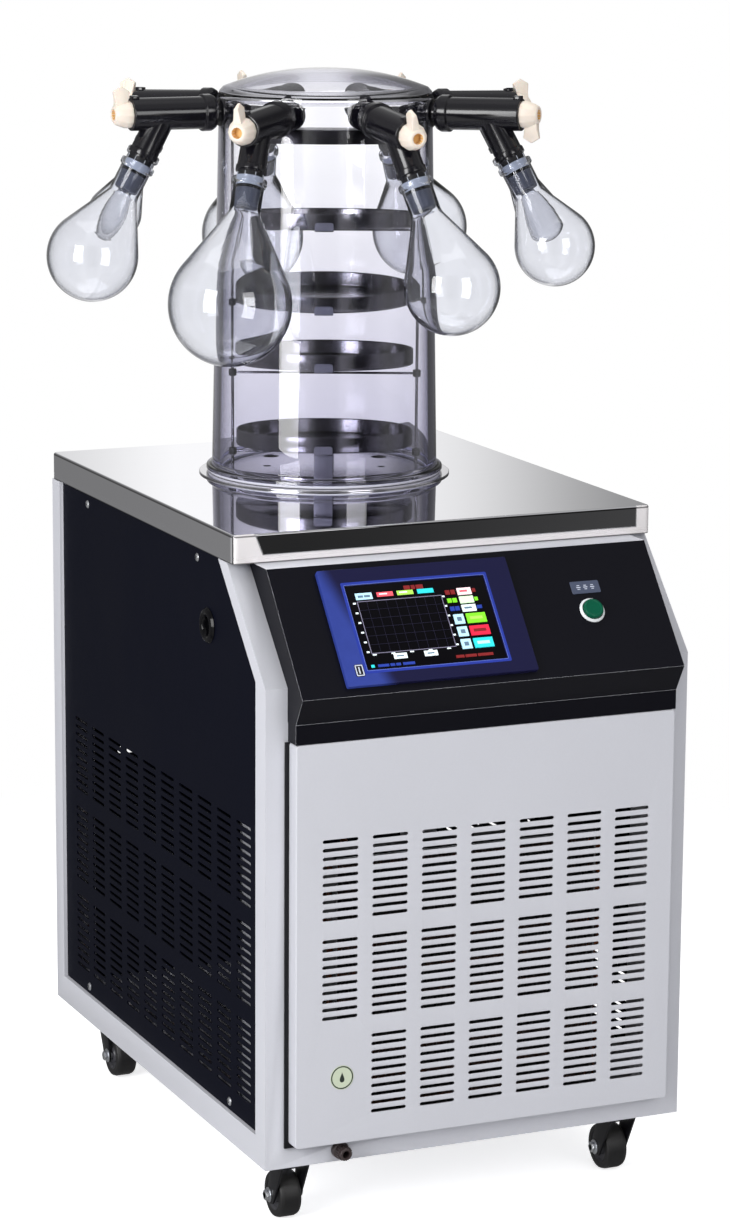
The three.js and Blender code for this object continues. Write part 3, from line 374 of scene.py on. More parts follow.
def mixNode(tree, kind, *values):
    # Mixes two numbers ("FLOAT") or two colours ("RGBA") by a factor.
    node = addNode(tree, "Mix", data_type=kind)
    for socket, value in zip([socket for socket in node.inputs if socket.enabled], values):
        feed(tree, socket, value)
    return next(socket for socket in node.outputs if socket.enabled)


def coordinates(tree, label="Object"):
    return addNode(tree, "TexCoord").outputs[label]


def splitNode(tree, vector):
    return addNode(tree, "SeparateXYZ", [vector]).outputs


def noiseNode(tree, vector, scale, detail=2):
    return addNode(tree, "TexNoise", {"Vector": vector, "Scale": scale, "Detail": detail}).outputs["Fac"]


def newGroup(name, inputs, outputs):
    group = bpy.data.node_groups.new(name, "ShaderNodeTree")
    for label, value in inputs.items():
        kind = {3: "Vector", 4: "Color"}[len(value)] if isinstance(value, tuple) else "Float"
        socket = group.interface.new_socket(name=label, in_out="INPUT", socket_type="NodeSocket" + kind)
        socket.default_value = value
    for label, kind in outputs:
        group.interface.new_socket(name=label, in_out="OUTPUT", socket_type="NodeSocket" + kind)
    return group, group.nodes.new("NodeGroupInput").outputs, group.nodes.new("NodeGroupOutput").inputs


def newPatternGroup(name, contrast, pattern, roughness, spread, drawPattern):
    # The colour is lifted and the roughness spread by one pattern, which draws the relief too.
    group, enter, leave = newGroup(name, {
        "Color": (0.5, 0.5, 0.5, 1), "Contrast": contrast, **pattern, "Roughness": roughness,
        "Spread": spread,
    }, [("Color", "Color"), ("Roughness", "Float"), ("Height", "Float")])
    amount, height = drawPattern(group, enter)
    lift = mathNode(group, "MULTIPLY_ADD", amount, enter["Contrast"], 1)
    lifted = addNode(group, "VectorMath", {0: enter["Color"], "Scale": lift}, operation="SCALE").outputs[0]
    feed(group, leave["Color"], lifted)
    feed(group, leave["Roughness"],
         mathNode(group, "MULTIPLY_ADD", amount, enter["Spread"], enter["Roughness"]))
    feed(group, leave["Height"], height)
    return group


def drawGrain(group, enter):
    # Broad cloudiness and a fine grain, for paint, rubber, plastic and cast faces.
    broad = noiseNode(group, coordinates(group), 7, 3)
    fine = noiseNode(group, coordinates(group), enter["Scale"])
    both = [mathNode(group, "SUBTRACT", noise, 0.5) for noise in (broad, fine)]
    return mathNode(group, "ADD", *both), fine


def drawLines(group, enter):
    # Fine lines drawn along one axis, for rolled and brushed sheet.
    scaled = addNode(group, "VectorMath", [coordinates(group), enter["Stretch"]],
                     operation="MULTIPLY").outputs[0]
    lines = mathNode(group, "SUBTRACT", noiseNode(group, scaled, 1), 0.5)
    return lines, lines


def newDustGroup():
    # A thin broken layer of dust on faces that look up.
    group, enter, leave = newGroup("settledDust", {
        "Color": (0.5, 0.5, 0.5, 1), "Dust": (0.45, 0.44, 0.42, 1), "Amount": 0.1,
    }, [("Color", "Color"), ("Mask", "Float")])
    normal = splitNode(group, addNode(group, "NewGeometry").outputs["Normal"])
    patch = mathNode(group, "MULTIPLY", noiseNode(group, coordinates(group), 60, 4), enter["Amount"])
    mask = mathNode(group, "MULTIPLY", mathNode(group, "MAXIMUM", normal["Z"], 0), patch)
    feed(group, leave["Color"], mixNode(group, "RGBA", mask, enter["Color"], enter["Dust"]))
    feed(group, leave["Mask"], mask)
    return group


surfaceGrain = newPatternGroup("surfaceGrain", 0.08, {"Scale": 900}, 0.5, 0.1, drawGrain)
brushedLines = newPatternGroup("brushedLines", 0.15, {"Stretch": (8, 900, 900)}, 0.25, 0.15, drawLines)
settledDust = newDustGroup()


def newMaterial(name):
    material = bpy.data.materials.new(name)
    material.use_nodes = True
    return material.node_tree, material.node_tree.nodes["Principled BSDF"]


def newFinish(name, colour, contrast, pattern, roughness, spread, bump=0, bumpDistance=0.00005, dust=0,
              **sockets):
    # An opaque finish: brushed where its pattern is a stretch, else grained, with a little dust on it.
    tree, shader = newMaterial(name)
    group, label = (brushedLines, "Stretch") if isinstance(pattern, tuple) else (surfaceGrain, "Scale")
    effect = addNode(tree, "Group", node_tree=group)
    for key, value in {"Color": rgb(*colour), "Contrast": contrast, label: pattern, "Roughness": roughness,
                       "Spread": spread}.items():
        effect.inputs[key].default_value = value
    shade = effect.outputs["Color"]
    if dust:
        shade = addNode(tree, "Group", {"Amount": dust, "Color": shade},
                        node_tree=settledDust).outputs["Color"]
    if bump:
        relief = addNode(tree, "Bump", {
            "Strength": bump, "Distance": bumpDistance, "Height": effect.outputs["Height"],
        })
        feed(tree, shader.inputs["Normal"], relief.outputs["Normal"])
    for key, value in {"Base Color": shade, "Roughness": effect.outputs["Roughness"], **sockets}.items():
        feed(tree, shader.inputs[key], value)
    return tree, shader, effect


def newClear(name, colour, ior, edge, outlineShadeRange, roughness=0, spread=0.01, shade=(255, 255, 255), low=None,
             lowShadeRange=(0, 1), absorb=None, density=0):
    # Glass or clear acrylic. Painted shade darkens its colour towards its outline, and a low part may take
    # its own darker tint, painted shade as well.
    tree, shader = newMaterial(name)
    effect = addNode(tree, "Group", node_tree=surfaceGrain)
    for key, value in {"Color": rgb(*colour), "Contrast": 0.03, "Scale": 40, "Roughness": roughness,
                       "Spread": spread}.items():
        effect.inputs[key].default_value = value
    tint = effect.outputs["Color"]
    # Painted shade: the lower part is painted darker.
    if low:
        height = mapValue(tree, splitNode(tree, coordinates(tree))["Z"], *lowShadeRange)
        tint = mixNode(tree, "RGBA", height, rgb(*low), tint)
    # Painted shade: the colour turns darker where the surface faces away.
    facing = addNode(tree, "LayerWeight", {"Blend": 0.5}).outputs["Facing"]
    rim = mapValue(tree, facing, *outlineShadeRange, smooth=True)
    for key, value in {"Metallic": 0, "Transmission Weight": 1, "IOR": ior,
                       "Roughness": effect.outputs["Roughness"],
                       "Base Color": mixNode(tree, "RGBA", rim, tint, rgb(*edge))}.items():
        feed(tree, shader.inputs[key], value)
    # Light reaches what is inside.
    rays = addNode(tree, "LightPath").outputs
    unseen = mathNode(tree, "MAXIMUM", rays["Is Shadow Ray"], rays["Is Diffuse Ray"])
    passing = addNode(tree, "BsdfTransparent", {"Color": rgb(*shade)}).outputs[0]
    mix = addNode(tree, "MixShader", [unseen, shader.outputs[0], passing]).outputs[0]
    output = tree.nodes["Material Output"].inputs
    feed(tree, output["Surface"], mix)
    if absorb:
        volume = addNode(tree, "VolumeAbsorption", {"Color": rgb(*absorb), "Density": density})
        feed(tree, output["Volume"], volume.outputs[0])


# Colour, contrast, scale or stretch of the pattern, roughness and its spread, then other settings.
finishes = {
    "whitePaint": ((196, 197, 204), 0.05, 700, 0.42, 0.08,
                   {"bump": 0.2, "dust": 0.04, "Specular IOR Level": 0.3}),
    "blackPaint": ((8, 10, 23), 0.15, 1100, 0.5, 0.15,
                   {"bump": 0.3, "dust": 0.03, "Specular IOR Level": 0.05}),
    "consolePaint": ((8, 8, 17), 0.15, 1000, 0.4, 0.12, {"bump": 0.3, "Specular IOR Level": 0.17}),
    # A pale colour for the console's rounded edges: a painted highlight.
    "consoleEdge": ((228, 230, 238), 0.2, 300, 0.35, 0.1, {}),
    "topSteel": ((246, 246, 250), 0.04, (3, 260, 260), 0.03, 0.02, {"Metallic": 1}),
    "plateSteel": ((234, 233, 238), 0.08, (20, 700, 700), 0.15, 0.06, {"Metallic": 1}),
    "lidSteel": ((46, 45, 50), 0.3, (6, 6, 700), 0.3, 0.1, {"Metallic": 1}),
    "tabSteel": ((116, 116, 122), 0.2, (300, 30, 30), 0.4, 0.1, {"Metallic": 0.4}),
    "traySteel": ((112, 111, 117), 0.35, (6, 6, 700), 0.14, 0.1, {"Metallic": 1}),
    "rackSteel": ((108, 107, 113), 0.2, (300, 300, 60), 0.2, 0.12, {"Metallic": 1}),
    "trapSteel": ((206, 205, 209), 0.12, (20, 700, 700), 0.14, 0.1, {"Metallic": 1}),
    "zincPlate": ((206, 208, 212), 0.25, 160, 0.34, 0.2, {"Metallic": 1}),
    "blackSteel": ((20, 20, 24), 0.3, 500, 0.34, 0.2, {"bump": 0.2, "dust": 0.06, "Specular IOR Level": 0.3}),
    "valveBlack": ((15, 14, 20), 0.1, 400, 0.17, 0.05, {"Specular IOR Level": 0.55}),
    "neckRubber": ((17, 17, 21), 0.2, 700, 0.5, 0.15, {"bump": 0.2, "Specular IOR Level": 0.3}),
    "plugRubber": ((4, 4, 7), 0.15, 500, 0.14, 0.04, {"Specular IOR Level": 0.18}),
    "plugWell": ((3, 3, 5), 0.15, 500, 0.6, 0.04, {"Specular IOR Level": 0.02}),
    "drainPlastic": ((58, 48, 48), 0.2, 400, 0.4, 0.12, {}),
    "stopperRubber": ((66, 70, 85), 0.14, 300, 0.5, 0.15, {"bump": 0.2}),
    "stopperRim": ((186, 192, 203), 0.12, 300, 0.4, 0.15, {}),
    "glandPlastic": ((176, 181, 192), 0.12, 500, 0.35, 0.1, {}),
    "knobCream": ((228, 216, 203), 0.06, 240, 0.42, 0.15,
                  {"bump": 0.1, "Subsurface Weight": 0.08, "Subsurface Scale": 0.002}),
    "knobBore": ((226, 182, 112), 0.2, 300, 0.6, 0.1, {}),
    "sealRubber": ((206, 206, 216), 0.08, 300, 0.4, 0.1, {}),
    "bezelGloss": ((50, 66, 146), 0.2, 60, 0.12, 0.05, {"Specular IOR Level": 0.25}),
    "bezelRim": ((40, 58, 158), 0.2, 40, 0.2, 0.06, {"Specular IOR Level": 0.3}),
    "bezelLine": ((96, 116, 204), 0.2, 40, 0.25, 0.1, {}),
    "screenGlass": ((6, 5, 9), 0.5, 1500, 0.1, 0.04, {"Specular IOR Level": 0.1}),
    "buttonGreen": ((1, 84, 60), 0.12, 400, 0.36, 0.1, {"bump": 0.1, "Specular IOR Level": 0.15}),
    "buttonRing": ((224, 227, 230), 0.06, 400, 0.28, 0.1, {}),
    "slatePlate": ((68, 76, 98), 0.12, 700, 0.4, 0.1, {}),
    "paleInk": ((202, 208, 224), 0.1, 800, 0.5, 0.1, {}),
    "labelPaper": ((194, 204, 180), 0.08, 600, 0.55, 0.1, {}),
    "labelInk": ((38, 48, 40), 0.2, 600, 0.5, 0.1, {}),
    "tyreRubber": ((18, 17, 19), 0.3, 350, 0.55, 0.2, {"bump": 0.3, "dust": 0.15}),
    "hubPlastic": ((58, 58, 64), 0.2, 300, 0.4, 0.15, {"dust": 0.1}),
    "finAluminium": ((168, 170, 174), 0.25, (40, 40, 900), 0.4, 0.2, {"Metallic": 1}),
    "copperTube": ((184, 108, 72), 0.35, 120, 0.3, 0.2, {"Metallic": 1}),
    "foamJacket": ((34, 34, 36), 0.4, 300, 0.85, 0.1, {"bump": 0.8, "bumpDistance": 0.0004}),
    "fanPlastic": ((60, 61, 66), 0.15, 200, 0.45, 0.15, {"dust": 0.2}),
    "brassPin": ((196, 164, 92), 0.2, 300, 0.3, 0.1, {"Metallic": 1}),
}
for finishName, (*finishValues, finishExtras) in finishes.items():
    newFinish(finishName, *finishValues, **finishExtras)
# The edge colours and the drum's low tint are painted shade.
newClear("drumAcrylic", (253, 253, 255), 1.49, (152, 150, 178), (0.45, 0.98), shade=(240, 240, 250),
         low=(226, 225, 236), lowShadeRange=(0.75, 1.08), absorb=(176, 176, 226), density=4)
newClear("flaskGlass", (236, 237, 241), 1.47, (52, 60, 80), (0.56, 0.98), shade=(246, 248, 252))
newClear("groundGlass", (236, 238, 244), 1.47, (130, 138, 154), (0.5, 0.97), roughness=0.05, spread=0.02,
         shade=(226, 228, 234))


def openFinish(name):
    # A finish's tree, its shader, and what feeds one of the shader's sockets.
    tree = bpy.data.materials[name].node_tree
    shader = tree.nodes["Principled BSDF"]
    return tree, shader.inputs, lambda label: shader.inputs[label].links[0].from_socket


# The satin tint is partly a painted reflection, and the dark line colour is painted shade.
rimSheenAndPaintedShade = {
    "roughness": 0.4, "metallic": 0.25, "tint": (0.86, 0.83, 0.84, 1), "line": (0.03, 0.028, 0.03, 1),
    "paintedShadeShare": 0.8, "slant": 0.4, "left": 29, "right": 16, "foot": 8,
}


def addRimSheenAndPaintedShade(name, s):
    # The front rim is polished in the middle and satin at its ends and along its foot, where a lighter tint
    # is also a painted reflection. Thin dark lines of painted shade follow the fold, the foot and the front
    # corners.
    tree, sockets, fedBy = openFinish(name)
    place = splitNode(tree, coordinates(tree))
    foot = -steel["rim"]

    def ramp(value, start, first, second, low=0, high=1):
        return mapValue(tree, value, start + first / 1000, start + second / 1000, low, high)

    def band(value, start, first, second, third, fourth):
        # 1 from start + second to start + third millimetres, fading out to first and fourth.
        return mathNode(tree, "MINIMUM", ramp(value, start, first, second),
                        ramp(value, start, third, fourth, 1, 0))

    def either(*masks):
        return mathNode(tree, "MAXIMUM", *masks)

    slanted = mathNode(tree, "MULTIPLY_ADD", place["Z"], s["slant"], place["X"])
    left = ramp(slanted, steelLow.x + s["slant"] * steelHigh.z, s["left"] - 6, s["left"] - 3, 1, 0)
    right = ramp(place["X"], steelHigh.x, -s["right"] - 2, -s["right"])
    low = band(place["Z"], steelHigh.z, foot - 2, foot - 1, foot + s["foot"] - 1, foot + s["foot"] + 1)
    front = mapValue(tree, place["Y"], steelLow.y + 0.0015, steelLow.y + 0.003, 1, 0)
    mask = mathNode(tree, "MULTIPLY", either(either(left, right), low), front)
    fold = band(place["Z"], steelHigh.z, -3.1, -2.6, -1.4, -1.0)
    hem = band(place["Z"], steelHigh.z, foot - 1, foot, foot + 0.9, foot + 1.3)
    corner = mathNode(tree, "MULTIPLY", band(place["X"], steelLow.x, 0.4, 0.7, 2.0, 2.5),
                      band(place["Y"], steelLow.y, 0.0, 0.4, 3.2, 3.8))
    # Painted shade: dark lines along the fold, the foot and the front corners.
    lines = mathNode(tree, "MULTIPLY", either(either(fold, hem), corner), s["paintedShadeShare"])
    # Painted reflection: the satin parts take the lighter tint, besides their real roughness.
    shaded = mixNode(tree, "RGBA", mask, fedBy("Base Color"), s["tint"])
    roughness = mixNode(tree, "FLOAT", mask, fedBy("Roughness"), s["roughness"])
    feed(tree, sockets["Roughness"], roughness)
    feed(tree, sockets["Metallic"], mixNode(tree, "FLOAT", mask, 1, s["metallic"]))
    feed(tree, sockets["Base Color"], mixNode(tree, "RGBA", lines, shaded, s["line"]))


addRimSheenAndPaintedShade("topSteel", rimSheenAndPaintedShade)


def addPaintedSlantLight(name, paintedShadeColour, corner, reach):
    # A glossy film with a painted reflection: its colour is lighter low on its left and painted darker above
    # and on its right.
    tree, sockets, fedBy = openFinish(name)
    place = splitNode(tree, coordinates(tree))
    across, rise = (mapValue(tree, place[axis], start, start + span)
                    for axis, start, span in (("X", corner.x, reach[0]), ("Z", corner.z, reach[1])))
    share = mapValue(tree, mathNode(tree, "ADD", across, rise), 0.62, 0.98, smooth=True)
    feed(tree, sockets["Base Color"], mixNode(tree, "RGBA", share, fedBy("Base Color"), rgb(*paintedShadeColour)))


print("finishes are ready")

camera = {
    "position": (-1655.35, -3561.15, 1452.97), "azimuth": -23.70, "elevation": 11.83, "roll": -0.37,
    "lens": 112.68,
}


def addCamera(settings):
    a, e, r = (math.radians(settings[key]) for key in ("azimuth", "elevation", "roll"))
    back = Vector((math.sin(a) * math.cos(e), -math.cos(a) * math.cos(e), math.sin(e)))
    right = Vector((0, 0, 1)).cross(back).normalized()
    level = Matrix((right, back.cross(right), back))
    tilt = Matrix(((math.cos(r), -math.sin(r), 0), (math.sin(r), math.cos(r), 0), (0, 0, 1)))
    data = bpy.data.cameras.new("mainCamera")
    data.lens = settings["lens"]
    data.sensor_width = 36
    data.clip_end = 60
    rig = bpy.data.objects.new("mainCamera", data)
    matrix = (tilt @ level).transposed().to_4x4()
    matrix.translation = machine @ Vector(settings["position"])
    rig.matrix_world = matrix
    bpy.context.scene.collection.objects.link(rig)
    bpy.context.scene.camera = rig


lamps = {
    "keyRight": {"place": (0.6, -3.1, 1.8), "size": (1.2, 1.3), "watts": 22},
    "fillLeft": {"place": (-2.6, -1.5, 1.5), "size": (1.2, 2.0), "watts": 74},
    "overhead": {"place": (0.0, 0.3, 3.0), "size": (2.0, 2.0), "watts": 30},
}


def addLamp(name, place, size, watts, aim=(0, 0, 0.65)):
    data = bpy.data.lights.new(name, "AREA")
    data.shape = "RECTANGLE"
    data.size, data.size_y = size
    data.energy = watts
    lamp = bpy.data.objects.new(name, data)
    lamp.location = place
    lamp.rotation_euler = (Vector(aim) - Vector(place)).to_track_quat("-Z", "Y").to_euler()
    lamp.visible_glossy = name != "overhead"  # the steel top would show it
    bpy.context.scene.collection.objects.link(lamp)


room = {
    "ambient": 0.42, "highPanel": 0.42, "overhead": 0.6, "clear": 1.17, "clearHigh": 0.85, "clearAside": 0.75,
    "clearEnd": (45, 75), "finePart": 12,
    # What gloss sees: degrees to the right of the camera's heading, and the strength there.
    "panels": (
        (-180, 0.1), (-173, 0.2), (-158, 0.88), (-143, 0.72), (-127, 0.22), (-110, 0.4), (-91, 0.5),
        (-68, 0.28), (-47, 0.22), (-34, 0.13), (-12, 0.5), (12, 0.17), (34, 0.08), (54, 0.07), (62, 0.5),
        (72, 0.5), (91, 0.25), (100, 0.4), (110, 0.6), (118, 0.35), (125, 0.08), (133, 0.02), (146, 0.03),
        (151, 0.5), (162, 0.5), (167, 0.06), (180, 0.1),
    ),
    "finePanels": (
        (-12, 0.5), (-5.2, 0.7), (-4.56, 0.75), (-4.0, 0.83), (-3.66, 0.89), (-3.3, 0.95), (-2.9, 1.0),
        (-0.2, 1.0), (1.06, 0.86), (1.42, 0.81), (1.78, 0.74), (2.14, 0.66), (2.5, 0.58), (2.86, 0.5),
        (3.21, 0.43), (3.57, 0.375), (3.85, 0.33), (6, 0.2), (12, 0.17),
    ),
}


def panelRing(tree, angle, reach, stops):
    # Strength by heading, from -reach to +reach degrees.
    ramp = addNode(tree, "ValToRGB", [mapValue(tree, angle, math.radians(-reach), math.radians(reach))])
    elements = ramp.color_ramp.elements
    ends = {0: 0, len(stops) - 1: -1}
    for index, (degrees, value) in enumerate(stops):
        element = elements[ends[index]] if index in ends else elements.new((degrees + reach) / (2 * reach))
        element.color = (value, value, value, 1)
    return ramp.outputs["Color"]


def addWorld(settings):
    world = bpy.data.worlds.new("studio")
    bpy.context.scene.world = world
    world.use_nodes = True
    tree = world.node_tree
    background = tree.nodes["Background"].inputs
    path = addNode(tree, "LightPath").outputs
    x, y, z = splitNode(tree, coordinates(tree, "Generated"))
    a = math.radians(camera["azimuth"])

    def along(first, second):
        return mathNode(tree, "MULTIPLY_ADD", x, first, mathNode(tree, "MULTIPLY", y, second))

    heading = mathNode(tree, "ARCTAN2", along(math.cos(a), math.sin(a)), along(-math.sin(a), math.cos(a)))
    fine = mathNode(tree, "COMPARE", heading, 0, math.radians(settings["finePart"]))
    ring = mixNode(tree, "FLOAT", fine, panelRing(tree, heading, 180, settings["panels"]),
                   panelRing(tree, heading, settings["finePart"], settings["finePanels"]))
    raised = mixNode(tree, "FLOAT", mapValue(tree, z, 0.5, 0.7), ring, settings["highPanel"])
    glossy = mathNode(tree, "MAXIMUM", raised, mapValue(tree, z, 0.88, 0.96, 0, settings["overhead"]))
    ahead = mapValue(tree, z, 0.5, 0.75, settings["clear"], settings["clearHigh"])
    aside = mapValue(tree, mathNode(tree, "ABSOLUTE", heading),
                     *[math.radians(v) for v in settings["clearEnd"]])
    clear = mixNode(tree, "FLOAT", aside, ahead, mathNode(tree, "MAXIMUM", raised, settings["clearAside"]))
    # What is mirrored and seen through glass keeps to the ring.
    clear = mixNode(tree, "FLOAT", mathNode(tree, "MINIMUM", path["Glossy Depth"], 1), clear, raised)
    plain = mixNode(tree, "FLOAT", path["Is Glossy Ray"], settings["ambient"], glossy)
    seen = mixNode(tree, "FLOAT", path["Is Transmission Ray"], plain, clear)
    feed(tree, background["Strength"], mathNode(tree, "MAXIMUM", seen, path["Is Camera Ray"]))
    feed(tree, background["Color"], (1, 1, 1, 1))


studioFloor = {
    "radius": 2.6, "white": (0.84, 0.84, 0.85, 1), "lift": 0.68, "fadeStart": 0.55, "fadeEnd": 1.5,
}


def addFloor(settings):
    shape = bmesh.new()
    bmesh.ops.create_circle(shape, cap_ends=True, segments=96, radius=settings["radius"])
    mesh = bpy.data.meshes.new("studioFloor")
    shape.to_mesh(mesh)
    shape.free()
    piece = bpy.data.objects.new("studioFloor", mesh)
    bpy.context.scene.collection.objects.link(piece)
    piece.visible_glossy = False
    tree, shader = newMaterial("studioFloor")
    for key, value in {"Base Color": settings["white"], "Roughness": 0.9, "Specular IOR Level": 0}.items():
        feed(tree, shader.inputs[key], value)
    # Near the object the floor takes its shadow, with some white of its own; far off it is plain white.
    path = addNode(tree, "LightPath").outputs
    seen = mathNode(tree, "MAXIMUM", path["Is Glossy Ray"], path["Is Transmission Ray"])
    visible = mathNode(tree, "MAXIMUM", path["Is Camera Ray"], seen)
    distance = addNode(tree, "VectorMath", [coordinates(tree)], operation="LENGTH").outputs["Value"]
    far = mapValue(tree, distance, settings["fadeStart"], settings["fadeEnd"], smooth=True)
    lift = addNode(tree, "Emission", {"Strength": mathNode(tree, "MULTIPLY", visible, settings["lift"])})
    near = addNode(tree, "AddShader", [shader.outputs[0], lift.outputs[0]])
    glow = addNode(tree, "Emission", {"Strength": 1})
    mix = addNode(tree, "MixShader",
                  [mathNode(tree, "MULTIPLY", visible, far), near.outputs[0], glow.outputs[0]])
    feed(tree, tree.nodes["Material Output"].inputs["Surface"], mix.outputs[0])
    mesh.materials.append(bpy.data.materials["studioFloor"])


bpy.context.scene.view_settings.view_transform = "Standard"
addCamera(camera)
for lampName, lampSettings in lamps.items():
    addLamp(lampName, **lampSettings)
addWorld(room)
addFloor(studioFloor)
print("camera, light and floor are ready")

cabinet = {
    "noseDepth": 90, "bottom": 78.3, "knee": 587, "slopeTop": 15,
    "insets": (30.7, 25, 0, 18, 27), "recess": 6, "panelSheet": 1.5, "seat": 0.3, "edge": 0.8,
}
frameTop = steel["height"] - steel["rim"] - cabinet["seat"]
sideOutline = [
    (-cabinet["noseDepth"], cabinet["bottom"]), (steel["depth"], cabinet["bottom"]),
    (steel["depth"], frameTop), (cabinet["slopeTop"], frameTop), (-cabinet["noseDepth"], cabinet["knee"]),
]

flatten(addPiece("cabinetFrame", softCopy("cabinet_frame", cabinet["edge"], 2), "whitePaint",
                 replaces="cabinet_frame"))


def slotOutline(length, height, centre, steps=3):
    r = height / 2
    half = length / 2 - r
    right = [(half + r * math.sin(math.pi * i / steps), -r * math.cos(math.pi * i / steps))
             for i in range(steps + 1)]
    path = right + [(-x, -y) for x, y in right]
    return [(x + centre[0], y + centre[1]) for x, y in path]


grille = {
    "length": 40, "height": 3.8, "pitch": 9.1, "count": 10, "columnPitch": 55.4, "rowPitch": 105.6,
    "rows": 3, "top": 430.7,
}


def grilleSlots(columns, firstCentre, skip=()):
    g = grille
    slots = []
    for column in range(columns):
        for row in range(g["rows"]):
            if (column, row) in skip:
                continue
            for i in range(g["count"]):
                z = g["top"] - row * g["rowPitch"] - i * g["pitch"] - g["height"] / 2
                slots.append(slotOutline(g["length"], g["height"],
                                         (firstCentre + column * g["columnPitch"], z)))
    return slots


def ringPoints(points, height):
    return [(x, y, height) for x, y in points]


def foldPoints(radius, top, steps, first=0):
    # The inset and level of a sheet's edge as it folds over through a quarter turn.
    angles = [math.radians(90 * step / steps) for step in range(first, steps + 1)]
    return [(radius * (1 - math.cos(angle)), top - radius * (1 - math.sin(angle))) for angle in angles]


frontPanel = {
    "halfWidth": 215, "low": 105, "high": 531.7, "front": 111.3, "back": 90.3, "bend": 1.1, "sheet": 1.5,
}


def addFrontPanel(p):
    width = p["halfWidth"] * 2
    height = p["high"] - p["low"]
    centre = (0, (p["high"] + p["low"]) / 2)

    def ringAt(inset, level):
        radius = max(3.5 - inset, 0.6)
        return ringPoints(rectangle(width - 2 * inset, height - 2 * inset, radius, centre), level)

    rings = [ringAt(*point) for point in [(0, p["back"])] + foldPoints(p["bend"], p["front"], 4)]
    wall = loft(rings, capFirst=False, capLast=False)
    firstCentre = -3 * grille["columnPitch"]
    face = sheet([(x, y) for x, y, z in rings[-1]], grilleSlots(7, firstCentre, skip={(0, 2)}))
    moved(face, shift(z=p["front"]))
    shape = joined(wall, face)
    bmesh.ops.remove_doubles(shape, verts=shape.verts, dist=0.01)
    bmesh.ops.recalc_face_normals(shape, faces=shape.faces)
    # The open pan's faces have to look forward before it gets its thickness.
    shape.faces.ensure_lookup_table()
    front = max(shape.faces, key=lambda face: face.calc_center_median().z)
    if front.normal.z < 0:
        bmesh.ops.reverse_faces(shape, faces=shape.faces)
    panel = addPiece("frontPanel", moved(shape, facingFront), "whitePaint", replaces="front_panel")
    skin = panel.modifiers.new("sheetThickness", "SOLIDIFY")
    skin.thickness = p["sheet"] / 1000
    skin.offset = -1
    skin.use_even_offset = True
    flatten(panel)


addFrontPanel(frontPanel)

sidePanel = {
    "corner": 2, "columns": 10, "firstCentre": -19.9, "grommet": (79.3, 620), "hole": 15, "screwRadius": 4.6,
    "screws": ((450, 686), (109, 687), (457, 118), (19, 118.7)),
}


def addSidePanel(side, p):
    edge = insetOutline(insetOutline(sideOutline, cabinet["insets"]), [cabinet["seat"]] * 5)
    outline = roundCorners([(u, v, p["corner"]) for u, v in edge])
    holes = grilleSlots(p["columns"], p["firstCentre"])
    if side < 0:
        holes.append(circle(p["hole"], p["grommet"], 32))
    shape = thicken(sheet(outline, holes), cabinet["panelSheet"])
    inner = steel["width"] / 2 - cabinet["recess"] + cabinet["seat"]
    start = inner if side > 0 else -inner - cabinet["panelSheet"]
    name = "right" if side > 0 else "left"
    addPiece(name + "SidePanel", moved(shape, shift(x=start) @ facingSide), "blackPaint",
             replaces=name + "_side_panel")
    head = lathe([(0, 0), (p["screwRadius"], 0), (p["screwRadius"], 0.5), (3.4, 1.7), (1.6, 2.2), (0, 2.3)],
                 20)
    slots = [dyed(box((-x, x), (-y, y), (2.0, 2.36)), 1) for x, y in ((2.4, 0.35), (0.35, 2.4))]
    screw = joined(head, *slots)
    outward = alongX if side > 0 else turn(-90, "Y")
    face = side * (inner + cabinet["panelSheet"] + 0.05)
    places = [shift(face, u, v) @ outward @ turn(25 * i, "Z") for i, (u, v) in enumerate(p["screws"])]
    addPiece(name + "PanelScrews", copies(screw, places), ("zincPlate", "blackSteel"))


addSidePanel(-1, sidePanel)
addSidePanel(1, sidePanel)

grommet = {"face": -236.1, "centre": sidePanel["grommet"], "lip": 19, "proud": 4, "shank": 13.9, "depth": 2.1}


def addGrommet(g):
    # A blanking plug: a domed lip with a shallow dished middle.
    lip = lathe([
        (9, -g["depth"]), (9, -1), (11.5, g["proud"] - 1.2, 1.5), (14, g["proud"], 1.6),
        (17, g["proud"] - 1, 1.5), (g["lip"], 0.4, 0.3), (g["lip"], 0), (g["shank"], 0),
        (g["shank"], -g["depth"]),
    ], 48, closed=True, soft=4)
    well = rod(9.2, -g["depth"], -g["depth"] + 0.6, 48)
    place = shift(g["face"], *g["centre"]) @ turn(-90, "Y")
    addPiece("sideGrommet", moved(joined(lip, dyed(well, 1)), place), ("plugRubber", "plugWell"),
             replaces="side_grommet")


addGrommet(grommet)


